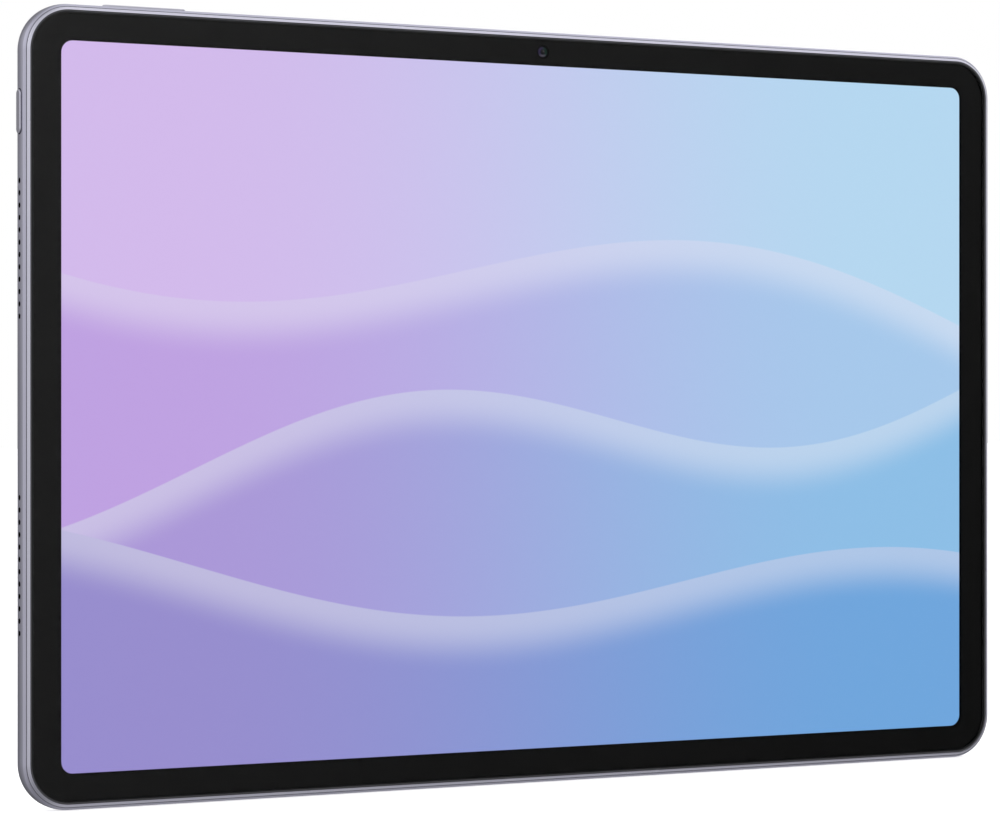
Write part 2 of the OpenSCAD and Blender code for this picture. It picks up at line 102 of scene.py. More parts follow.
@dataclass(frozen=True)
class Span:
    """Lowest and highest corner of one CAD node."""

    low: Vector
    high: Vector

    @classmethod
    def of(cls, node: str) -> "Span":
        """Reads a node's box from the frame.

        Args:
            node: The CAD node's name.

        Returns:
            Its span at rest.
        """
        low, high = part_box(node)
        return cls(Vector(low), Vector(high))

    @property
    def middle(self) -> Vector:
        """Centre of the box."""
        return (self.low + self.high) / 2

    @property
    def size(self) -> Vector:
        """Lengths of the box along X, Y and Z."""
        return self.high - self.low


# ---------------------------------------------------------------- mesh tools


def round_outline(half_long: float, half_short: float, radius: float, steps: int) -> Profile:
    """Lists the points of a rectangle with round corners, anticlockwise.

    Args:
        half_long: Half its length.
        half_short: Half its height.
        radius: Corner radius.
        steps: Pieces that each corner's arc is cut into.

    Returns:
        The outline's points.
    """
    radius = max(radius, 1e-6)
    points = []
    for corner, (sx, sy) in enumerate(((1, 1), (-1, 1), (-1, -1), (1, -1))):
        for step in range(steps + 1):
            turn = math.radians(90 * (corner + step / steps))
            points.append((sx * (half_long - radius) + radius * math.cos(turn),
                           sy * (half_short - radius) + radius * math.sin(turn)))
    return points


def arc(centre: tuple[float, float], radius: float, start: float, end: float,
        steps: int) -> Profile:
    """Lists points along an arc of a profile.

    Args:
        centre: The arc's centre.
        radius: Its radius.
        start: Where it starts, in degrees.
        end: Where it ends, in degrees.
        steps: How many pieces it is cut into.

    Returns:
        The arc's points, both ends among them.
    """
    turns = [math.radians(start + (end - start) * step / steps) for step in range(steps + 1)]
    return [(centre[0] + radius * math.cos(t), centre[1] + radius * math.sin(t)) for t in turns]


class MeshShop:
    """Collects the faces of one piece before it becomes an object."""

    def __init__(self) -> None:
        """Starts with an empty mesh."""
        self.bm = bmesh.new()

    def _ring(self, points: list[Vector]) -> list[bmesh.types.BMVert]:
        """Adds one closed row of corners."""
        return [self.bm.verts.new(point) for point in points]

    def _band(self, one: list[bmesh.types.BMVert], two: list[bmesh.types.BMVert],
              finish: int) -> None:
        """Joins two rows of equal length with four-sided faces."""
        count = len(one)
        for i in range(count):
            j = (i + 1) % count
            corners = []
            for vert in (one[i], one[j], two[j], two[i]):
                if vert not in corners:
                    corners.append(vert)
            if len(corners) > 2:
                face = self.bm.faces.new(corners)
                face.material_index = finish

    def sweep(self, half_long: float, half_short: float, radius: float, profile: Profile,
              place: Matrix, steps: int = 24, looped: bool = False,
              finishes: dict[int, int] | None = None) -> None:
        """Carries a profile round a rectangle with round corners.

        Args:
            half_long: Half the outline's length at inset 0.
            half_short: Half its height at inset 0.
            radius: Its corner radius at inset 0.
            profile: Points of (inset from the outline, height), in order.
            place: Matrix from the piece's axes to the frame's.
            steps: Pieces in each corner's arc.
            looped: True joins the last point to the first, for a ring. False closes both ends.
            finishes: Finish number of the band that starts at each profile point.
        """
        finishes = finishes or {}
        rows = []
        for inset, height in profile:
            flat = round_outline(half_long - inset, half_short - inset, radius - inset, steps)
            rows.append(self._ring([place @ Vector((u, v, height)) for u, v in flat]))
        for i in range(len(rows) - 1):
            self._band(rows[i], rows[i + 1], finishes.get(i, 0))
        if looped:
            self._band(rows[-1], rows[0], finishes.get(len(rows) - 1, 0))
        else:
            self.bm.faces.new(rows[0]).material_index = finishes.get(-1, 0)
            self.bm.faces.new(rows[-1]).material_index = finishes.get(len(rows) - 1, 0)

    def lathe(self, profile: Profile, place: Matrix, steps: int = 48, looped: bool = False,
              finishes: dict[int, int] | None = None) -> None:
        """Turns a profile about the piece's height axis.

        Args:
            profile: Points of (radius, height), in order.
            place: Matrix from the piece's axes to the frame's.
            steps: Pieces in the full turn.
            looped: True joins the last point to the first, for a ring. False closes both ends.
            finishes: Finish number of the band that starts at each profile point.
        """
        finishes = finishes or {}
        rows = []
        for radius, height in profile:
            turns = [math.tau * i / steps for i in range(steps)]
            rows.append(self._ring([place @ Vector((max(radius, 1e-6) * math.cos(t),
                                                    max(radius, 1e-6) * math.sin(t), height))
                                    for t in turns]))
        for i in range(len(rows) - 1):
            self._band(rows[i], rows[i + 1], finishes.get(i, 0))
        if looped:
            self._band(rows[-1], rows[0], finishes.get(len(rows) - 1, 0))
        else:
            self.bm.faces.new(rows[0]).material_index = finishes.get(-1, 0)
            self.bm.faces.new(rows[-1]).material_index = finishes.get(len(rows) - 1, 0)

    def block(self, low: Vector, high: Vector, finish: int = 0, edge: float = 0.0) -> None:
        """Adds a box, its edges taken off if asked.

        Args:
            low: Its lowest corner.
            high: Its highest corner.
            finish: Finish number of its faces.
            edge: Width of the bevel along its edges.
        """
        made = bmesh.ops.create_cube(self.bm, size=1.0)["verts"]
        for vert in made:
            vert.co = Vector(low[i] if vert.co[i] < 0 else high[i] for i in range(3))
        faces = {face for vert in made for face in vert.link_faces}
        for face in faces:
            face.material_index = finish
        if edge > 0:
            edges = list({e for face in faces for e in face.edges})
            bmesh.ops.bevel(self.bm, geom=edges, offset=edge, segments=2, affect="EDGES",
                            profile=0.5, material=-1)

    def piece(self, name: str, finishes: list[bpy.types.Material],
              smooth_below: float = 32.0) -> bpy.types.Object:
        """Turns the faces into an object with smooth shading and clean corners.

        Args:
            name: Name of the piece.
            finishes: Its materials, in the order of the finish numbers.
            smooth_below: Edges that turn by less than this many degrees are shaded smooth.

        Returns:
            The new object, linked to the scene.
        """
        bmesh.ops.remove_doubles(self.bm, verts=self.bm.verts, dist=1e-8)
        bmesh.ops.recalc_face_normals(self.bm, faces=self.bm.faces)
        mesh = bpy.data.meshes.new(name)
        self.bm.to_mesh(mesh)
        self.bm.free()
        thing = bpy.data.objects.new(name, mesh)
        bpy.context.scene.collection.objects.link(thing)
        for finish in finishes:
            mesh.materials.append(finish)
        soften(thing, smooth_below)
        return thing


def soften(thing: bpy.types.Object, smooth_below: float) -> None:
    """Shades a piece smooth, apart from its sharp edges, with normals led by its large faces.

    Args:
        thing: The piece.
        smooth_below: Edges that turn by less than this many degrees are shaded smooth.
    """
    thing.data.shade_smooth()
    thing.data.set_sharp_from_angle(angle=math.radians(smooth_below))
    if not any(m.type == "WEIGHTED_NORMAL" for m in thing.modifiers):
        weights = thing.modifiers.new("even_shading", "WEIGHTED_NORMAL")
        weights.keep_sharp = True
        weights.weight = 100


def carve(thing: bpy.types.Object, cutters: MeshShop, inside: bpy.types.Material,
          smooth_below: float = 32.0) -> None:
    """Cuts holes in a piece.

    Args:
        thing: The piece.
        cutters: Closed shapes to take away from it. None of them overlap.
        inside: Finish of the faces inside the holes, near black to paint the shade in them.
        smooth_below: Edges that turn by less than this many degrees are shaded smooth.
    """
    tool = cutters.piece(thing.name + "_cutter", [inside])
    thing.modifiers.clear()
    cut = thing.modifiers.new("holes", "BOOLEAN")
    cut.operation = "DIFFERENCE"
    cut.solver = "EXACT"
    cut.material_mode = "TRANSFER"
    cut.object = tool
    bpy.context.view_layer.update()
    ready = bpy.data.meshes.new_from_object(
        thing.evaluated_get(bpy.context.evaluated_depsgraph_get()))
    thing.modifiers.clear()
    thing.data = ready
    bpy.data.objects.remove(tool)
    soften(thing, smooth_below)


def settle(thing: bpy.types.Object, body: str, slot: str, *nodes: str) -> bpy.types.Object:
    """Declares a finished piece to the frame.

    Args:
        thing: The piece, in place.
        body: The CAD body that it moves with.
        slot: Not used.
        *nodes: CAD nodes that it stands for.

    Returns:
        The same piece.
    """
    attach(thing, body)
    if nodes:
        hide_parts(*nodes)
    LOG.info("%s: %d faces on %s", thing.name, len(thing.data.polygons), body)
    return thing


def dress(node: str, finish: bpy.types.Material) -> None:
    """Gives a CAD node that stays in view its finish.

    Args:
        node: The CAD node's name.
        finish: Its material.
    """
    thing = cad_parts[node]
    if not thing.material_slots:
        thing.data.materials.append(finish)
    for place in thing.material_slots:
        place.material = finish
    LOG.info("%s: dressed in %s", node, finish.name)


# ---------------------------------------------------------------- shader tools


class Bench:
    """Builds the node tree of one material around its main shader."""

    def __init__(self, name: str) -> None:
        """Makes the material.

        Args:
            name: Name of the material.
        """
        self.material = bpy.data.materials.new(name)
        self.material.use_nodes = True
        self.tree = self.material.node_tree
        self.shader = self.tree.nodes["Principled BSDF"]

    def add(self, kind: str, **settings: object) -> bpy.types.Node:
        """Adds a node.

        Args:
            kind: Its type, without the leading words.
            **settings: Its own settings.

        Returns:
            The node.
        """
        node = self.tree.nodes.new("ShaderNode" + kind)
        for key, value in settings.items():
            setattr(node, key, value)
        return node

    def feed(self, target: Socket, value: object) -> None:
        """Wires a socket to another, or sets its value."""
        if isinstance(value, bpy.types.NodeSocket):
            self.tree.links.new(value, target)
        elif isinstance(value, tuple) and len(value) == 3 and target.type == "RGBA":
            target.default_value = (*value, 1.0)
        else:
            target.default_value = value

    def set(self, **values: object) -> None:
        """Sets or wires the main shader's sockets, with _ for each space in a name."""
        for key, value in values.items():
            self.feed(self.shader.inputs[key.replace("_", " ")], value)

    def place(self) -> Socket:
        """Gives the frame's own coordinates, in metres."""
        return self.add("TexCoord").outputs["Object"]

    def scaled(self, factor: float, stretch: Colour = (1, 1, 1)) -> Socket:
        """Gives the frame's coordinates times a factor, stretched along each axis."""
        node = self.add("VectorMath", operation="MULTIPLY")
        self.feed(node.inputs[0], self.place())
        node.inputs[1].default_value = tuple(factor * s for s in stretch)
        return node.outputs[0]

    def maths(self, operation: str, one: object, two: object = 0.0, three: object = 0.0) -> Socket:
        """Does one sum on numbers."""
        node = self.add("Math", operation=operation)
        for target, value in zip(node.inputs, (one, two, three)):
            self.feed(target, value)
        return node.outputs[0]

    def blend(self, factor: object, one: object, two: object) -> Socket:
        """Mixes two colours."""
        node = self.add("Mix", data_type="RGBA", clamp_factor=True)
        self.feed(node.inputs[0], factor)
        self.feed(node.inputs[6], one)
        self.feed(node.inputs[7], two)
        return node.outputs[2]

    def ease(self, value: object, start: float, end: float, low: float, high: float,
             curve: str = "SMOOTHERSTEP") -> Socket:
        """Maps a value from one range to another.

        Args:
            value: The value or socket.
            start: Value that gives low.
            end: Value that gives high.
            low: Result at start.
            high: Result at end.
            curve: LINEAR, SMOOTHSTEP or SMOOTHERSTEP.

        Returns:
            The mapped value, kept between low and high.
        """
        node = self.add("MapRange", interpolation_type=curve, clamp=True)
        for key, number in zip(("Value", "From Min", "From Max", "To Min", "To Max"),
                               (value, start, end, low, high)):
            self.feed(node.inputs[key], number)
        return node.outputs[0]

    def noise(self, scale: float, detail: float = 2.0, rough: float = 0.5,
              stretch: Colour = (1, 1, 1)) -> Socket:
        """Gives a noise value from 0 to 1, scale counted per metre."""
        node = self.add("TexNoise")
        self.feed(node.inputs["Vector"], self.scaled(1.0, stretch))
        self.feed(node.inputs["Scale"], scale)
        self.feed(node.inputs["Detail"], detail)
        self.feed(node.inputs["Roughness"], rough)
        return node.outputs["Fac"]

    def relief(self, height: Socket, depth: float, strength: float = 1.0) -> None:
        """Turns a height into the main shader's fine relief.

        Args:
            height: Height from 0 to 1.
            depth: What a height of 1 stands for, in metres.
            strength: How much of it shows.
        """
        node = self.add("Bump")
        self.feed(node.inputs["Height"], height)
        self.feed(node.inputs["Distance"], depth)
        self.feed(node.inputs["Strength"], strength)
        self.set(Normal=node.outputs["Normal"])


# ---------------------------------------------------------------- finishes


@dataclass(frozen=True)
class AnodisedMetal:
    """Bead-blasted, dyed aluminium: fine grain, slight cloudiness, soft gloss."""

    name: str = "anodised_metal"
    colour: Colour = (0.41, 0.405, 0.495)
    shift: Colour = (0.45, 0.445, 0.54)
    gloss: tuple[float, float] = (0.3, 0.38)
    grain: float = 9000.0
    grain_depth: float = 0.000004

    def make(self) -> bpy.types.Material:
        """Builds the material."""
        bench = Bench(self.name)
        cloud = bench.noise(35.0, 3.0)
        speck = bench.noise(self.grain, 2.0, 0.6)
        tone = bench.maths("MULTIPLY_ADD", speck, 0.35, bench.maths("MULTIPLY", cloud, 0.65))
        bench.set(Base_Color=bench.blend(tone, self.colour, self.shift), Metallic=1.0,
                  Roughness=bench.ease(tone, 0.25, 0.75, *self.gloss, "LINEAR"))
        bench.relief(speck, self.grain_depth, 0.5)
        return bench.material


@dataclass(frozen=True)
class CutMetal:
    """Bright lip turned with a diamond tool: faint lines along the edge."""

    name: str = "cut_metal"
    colour: Colour = (0.49, 0.485, 0.57)
    shift: Colour = (0.56, 0.555, 0.65)

    def make(self) -> bpy.types.Material:
        """Builds the material."""
        bench = Bench(self.name)
        lines = bench.noise(2500.0, 2.0, 0.5, (0.02, 1, 0.02))
        bench.set(Base_Color=bench.blend(lines, self.colour, self.shift), Metallic=1.0,
                  Roughness=bench.ease(lines, 0.2, 0.8, 0.22, 0.3, "LINEAR"))
        bench.relief(lines, 0.000002, 0.4)
        return bench.material


@dataclass(frozen=True)
class FrontGlass:
    """Clear toughened glass with a weak reflection, as its coating gives."""

    name: str = "front_glass"
    smear: float = 0.018

    def make(self) -> bpy.types.Material:
        """Builds the material."""
        bench = Bench(self.name)
        wiped = bench.noise(28.0, 3.0, 0.55, (1, 1, 2.2))
        bench.set(Base_Color=(1.0, 1.0, 1.0), Transmission_Weight=1.0, IOR=1.1,
                  Roughness=bench.ease(wiped, 0.3, 0.75, 0.0, self.smear, "LINEAR"))
        return bench.material


@dataclass(frozen=True)
class BlackPrint:
    """Several coats of black ink on the underside of the glass."""

    name: str = "black_print"
    colour: Colour = (0.0007, 0.0007, 0.0008)
    shift: Colour = (0.0012, 0.0012, 0.0013)
    shine: float = 0.2

    def make(self) -> bpy.types.Material:
        """Builds the material."""
        bench = Bench(self.name)
        cloud = bench.noise(60.0, 3.0)
        bench.set(Base_Color=bench.blend(cloud, self.colour, self.shift),
                  Specular_IOR_Level=self.shine,
                  Roughness=bench.ease(cloud, 0.2, 0.8, 0.12, 0.2, "LINEAR"))
        return bench.material


@dataclass(frozen=True)
class Polymer:
    """Moulded or coated plastic with a fine grain."""

    name: str
    colour: Colour
    shift: Colour
    gloss: tuple[float, float] = (0.45, 0.6)
    grain: float = 4000.0
    grain_depth: float = 0.00001
    shine: float = 0.5

    def make(self) -> bpy.types.Material:
        """Builds the material."""
        bench = Bench(self.name)
        speck = bench.noise(self.grain, 3.0, 0.6)
        cloud = bench.noise(self.grain / 60, 2.0)
        tone = bench.maths("MULTIPLY_ADD", speck, 0.5, bench.maths("MULTIPLY", cloud, 0.5))
        bench.set(Base_Color=bench.blend(tone, self.colour, self.shift),
                  Roughness=bench.ease(tone, 0.25, 0.75, *self.gloss, "LINEAR"),
                  Specular_IOR_Level=self.shine)
        bench.relief(speck, self.grain_depth, 0.5)
        return bench.material


@dataclass(frozen=True)
class SheetMetal:
    """Rolled or turned metal with lines along one axis."""

    name: str
    colour: Colour
    shift: Colour
    gloss: tuple[float, float] = (0.28, 0.42)
    along: Colour = (0.03, 1, 1)

    def make(self) -> bpy.types.Material:
        """Builds the material."""
        bench = Bench(self.name)
        lines = bench.noise(2200.0, 3.0, 0.6, self.along)
        bench.set(Base_Color=bench.blend(lines, self.colour, self.shift), Metallic=1.0,
                  Roughness=bench.ease(lines, 0.2, 0.8, *self.gloss, "LINEAR"))
        bench.relief(lines, 0.000006, 0.5)
        return bench.material


@dataclass(frozen=True)
class Weave:
    """Fine cloth behind the speaker holes."""

    name: str = "acoustic_cloth"
    thread: float = 0.00022
    colour: Colour = (0.012, 0.012, 0.014)
    shift: Colour = (0.05, 0.05, 0.055)

    def make(self) -> bpy.types.Material:
        """Builds the material."""
        bench = Bench(self.name)
        waves = []
        for direction in ("Y", "Z"):
            wave = bench.add("TexWave", wave_type="BANDS", bands_direction=direction)
            bench.feed(wave.inputs["Vector"], bench.place())
            bench.feed(wave.inputs["Scale"], 0.05 / self.thread)
            waves.append(wave.outputs["Fac"])
        cloth = bench.maths("MAXIMUM", *waves)
        bench.set(Base_Color=bench.blend(cloth, self.colour, self.shift), Roughness=0.85,
                  Sheen_Weight=0.2)
        bench.relief(cloth, 0.00005, 0.8)
        return bench.material


@dataclass(frozen=True)
class CircuitBoard:
    """Solder mask over copper tracks."""

    name: str = "circuit_board"
    mask: Colour = (0.004, 0.035, 0.024)
    track: Colour = (0.012, 0.085, 0.05)
    pad: Colour = (0.6, 0.48, 0.2)

    def make(self) -> bpy.types.Material:
        """Builds the material."""
        bench = Bench(self.name)
        cells = bench.add("TexVoronoi", distance="CHEBYCHEV", feature="F1")
        bench.feed(cells.inputs["Vector"], bench.scaled(420.0))
        bench.feed(cells.inputs["Randomness"], 0.85)
        tracks = bench.ease(cells.outputs["Distance"], 0.3, 0.34, 0.0, 1.0)
        pads = bench.ease(cells.outputs["Distance"], 0.07, 0.05, 0.0, 1.0)
        coat = bench.blend(tracks, self.mask, self.track)
        bench.set(Base_Color=bench.blend(pads, coat, self.pad), Metallic=pads,
                  Roughness=bench.ease(tracks, 0.0, 1.0, 0.38, 0.28))
        bench.relief(tracks, 0.00003, 0.6)
        return bench.material


@dataclass(frozen=True)
class CoatedLens:
    """Lens glass over a dark barrel: a dark middle inside a ring of painted sheen that goes from
    purple to a painted green glint and turns pale low down.
    """

    name: str
    middle: Vector
    reach: float
    core: Colour = (0.002, 0.0015, 0.006)
    # The ring colour and the two after it are painted sheen: purple on the ring, a green glint at
    # its right and a pale reflection lower down.
    rim: Colour = (0.045, 0.035, 0.095)
    painted_glint: Colour = (0.018, 0.06, 0.04)
    pale: Colour = (0.13, 0.12, 0.16)
    bend: float = 1.4

    def make(self) -> bpy.types.Material:
        """Builds the material."""
        bench = Bench(self.name)
        away = bench.add("VectorMath", operation="DISTANCE")
        bench.feed(away.inputs[0], bench.place())
        away.inputs[1].default_value = tuple(self.middle)
        far = away.outputs["Value"]
        across = bench.add("SeparateXYZ")
        bench.feed(across.inputs[0], bench.place())
        # Painted reflection: the ring's sheen goes from purple at the left to a green glint at the
        # right.
        side = bench.ease(across.outputs["X"], self.middle.x - self.reach * 0.3,
                          self.middle.x + self.reach * 0.6, 0.0, 1.0)
        film = bench.blend(side, self.rim, self.painted_glint)
        # Painted reflection: the ring turns pale towards the bottom.
        under = bench.ease(across.outputs["Z"], self.middle.z - self.reach * 0.3,
                           self.middle.z - self.reach * 0.75, 0.0, 1.0)
        film = bench.blend(under, film, self.pale)
        # The ring mask is where the painted sheen shows over the dark middle.
        ring = bench.maths("MULTIPLY", bench.ease(far, self.reach * 0.4, self.reach * 0.7, 0, 1),
                           bench.ease(far, self.reach, self.reach * 0.85, 0, 1))
        dust = bench.noise(3000.0, 2.0)
        bench.set(Base_Color=bench.blend(ring, self.core, film), IOR=self.bend,
                  Roughness=bench.ease(dust, 0.3, 0.8, 0.03, 0.09))
        return bench.material


# ---------------------------------------------------------------- the picture on the screen


@dataclass(frozen=True)
class Wave:
    """Everything under one gentle wave line. Places and lengths are in millimetres."""

    height: float
    swing: float
    length: float
    shift: float
    slope: float
    left: Colour
    right: Colour


@dataclass(frozen=True)
class ScreenPicture:
    """Lit picture: plain layered waves over an even fade from lavender to pale blue."""

    name: str = "lit_picture"
    middle: Vector = field(default_factory=Vector)
    left: Colour = (210, 185, 235)
    right: Colour = (180, 215, 240)
    light: Colour = (245, 245, 250)
    waves: tuple[Wave, ...] = (
        Wave(30, 15, 300, 20, -0.1, (190, 160, 225), (165, 200, 235)),
        Wave(-5, 12, 220, 90, 0.1, (170, 150, 215), (140, 190, 230)),
        Wave(-40, 10, 260, -40, -0.05, (150, 140, 205), (110, 165, 220)))
    half_long: float = 120.0
    soft_edge: float = 0.12
    glow: float = 14.0
    glow_share: float = 0.35

    def _paint(self, bench: Bench, along: Socket, up: Socket, wave: Wave,
               under: Socket) -> Socket:
        """Paints one wave over what is under it.

        Args:
            bench: The material's bench.
            along: Place to the right of the picture's middle.
            up: Place above the picture's middle.
            wave: The wave.
            under: Colour so far.

        Returns:
            The new colour.
        """
        turn = bench.maths("MULTIPLY", bench.maths("ADD", along, wave.shift),
                           2 * math.pi / wave.length)
        line = bench.maths("MULTIPLY_ADD", bench.maths("SINE", turn), wave.swing, wave.height)
        line = bench.maths("MULTIPLY_ADD", along, wave.slope, line)
        above = bench.maths("SUBTRACT", up, line)
        across = bench.ease(along, -self.half_long, self.half_long, 0.0, 1.0)
        colour = bench.blend(across, srgb(*wave.left), srgb(*wave.right))
        shine = bench.ease(above, -self.glow, 0.0, 0.0, self.glow_share)
        colour = bench.blend(shine, colour, srgb(*self.light))
        inside = bench.ease(above, self.soft_edge, -self.soft_edge, 0.0, 1.0, "LINEAR")
        return bench.blend(inside, under, colour)

    def make(self) -> bpy.types.Material:
        """Builds the material."""
        bench = Bench(self.name)
        moved = bench.add("VectorMath", operation="SUBTRACT")
        bench.feed(moved.inputs[0], bench.place())
        moved.inputs[1].default_value = tuple(self.middle)
        flat = bench.add("VectorMath", operation="MULTIPLY")
        bench.feed(flat.inputs[0], moved.outputs[0])
        flat.inputs[1].default_value = (1 / MM, 0.0, 1 / MM)
        axes = bench.add("SeparateXYZ")
        bench.feed(axes.inputs[0], flat.outputs[0])
        along, up = axes.outputs["X"], axes.outputs["Z"]
        across = bench.ease(along, -self.half_long, self.half_long, 0.0, 1.0)
        colour = bench.blend(across, srgb(*self.left), srgb(*self.right))
        for wave in self.waves:
            colour = self._paint(bench, along, up, wave, colour)
        bench.set(Base_Color=(0.004, 0.004, 0.004), Roughness=0.6, Specular_IOR_Level=0.1,
                  Emission_Color=colour, Emission_Strength=1.0)
        return bench.material


class Finishes:
    """Every shared material, made once."""

    def __init__(self) -> None:
        """Builds them all."""
        self.metal = AnodisedMetal().make()
        self.lip = CutMetal().make()
        # Painted shade: darker metal for the groove between the side wall and the lip.
        self.seam = AnodisedMetal("groove_shade_metal", (0.15, 0.15, 0.18), (0.2, 0.2, 0.235),
                                  (0.5, 0.6)).make()
        self.key_metal = AnodisedMetal("key_metal", (0.45, 0.445, 0.52), (0.49, 0.485, 0.565),
                                       (0.26, 0.34)).make()
        self.glass = FrontGlass().make()
        self.print = BlackPrint().make()
        self.edge = BlackPrint("glass_edge", (0.0009, 0.0009, 0.001), (0.0015, 0.0015, 0.0016),
                               0.3).make()
        self.gasket = Polymer("gasket_rubber", (0.03, 0.03, 0.034), (0.043, 0.043, 0.048),
                              (0.4, 0.55), shine=0.3).make()
        # Near black as painted shade on the walls of cut holes; also the front camera barrel's own
        # black.
        self.hole = Polymer("hole_shade_black", (0.001, 0.001, 0.0012), (0.002, 0.002, 0.0023),
                            (0.7, 0.8), shine=0.06).make()
        self.black = Polymer("black_plastic", (0.008, 0.008, 0.009), (0.018, 0.018, 0.02)).make()
        self.cloth = Weave().make()
        self.steel = SheetMetal("sheet_steel", (0.5, 0.5, 0.52), (0.66, 0.66, 0.68)).make()
        self.port = SheetMetal("port_steel", (0.4, 0.4, 0.42), (0.55, 0.55, 0.57),
                               (0.25, 0.35), (1, 1, 0.03)).make()
        self.gold = SheetMetal("gold_contact", (0.75, 0.52, 0.2), (0.85, 0.63, 0.28),
                               (0.2, 0.3)).make()
        self.screw = SheetMetal("screw_steel", (0.35, 0.35, 0.37), (0.5, 0.5, 0.52)).make()
        self.board = CircuitBoard().make()
        self.flex = Polymer("amber_film", (0.28, 0.1, 0.015), (0.4, 0.17, 0.03), (0.3, 0.4),
                            1200.0).make()
        self.wrap = Polymer("battery_wrap", (0.015, 0.015, 0.017), (0.03, 0.03, 0.033),
                            (0.4, 0.55), 1500.0).make()
        self.graphite = Polymer("graphite_sheet", (0.03, 0.03, 0.033), (0.06, 0.06, 0.065),
                                (0.35, 0.5), 800.0).make()
        self.film = Polymer("white_film", (0.75, 0.76, 0.78), (0.85, 0.86, 0.88), (0.4, 0.5),
                            900.0).make()
        self.guide = Polymer("light_guide", (0.7, 0.74, 0.72), (0.8, 0.84, 0.82), (0.15, 0.25),
                             700.0).make()
        self.lamp = Polymer("lamp_yellow", (0.75, 0.62, 0.2), (0.88, 0.75, 0.3), (0.2, 0.3),
                            900.0).make()


# ---------------------------------------------------------------- sub-assemblies


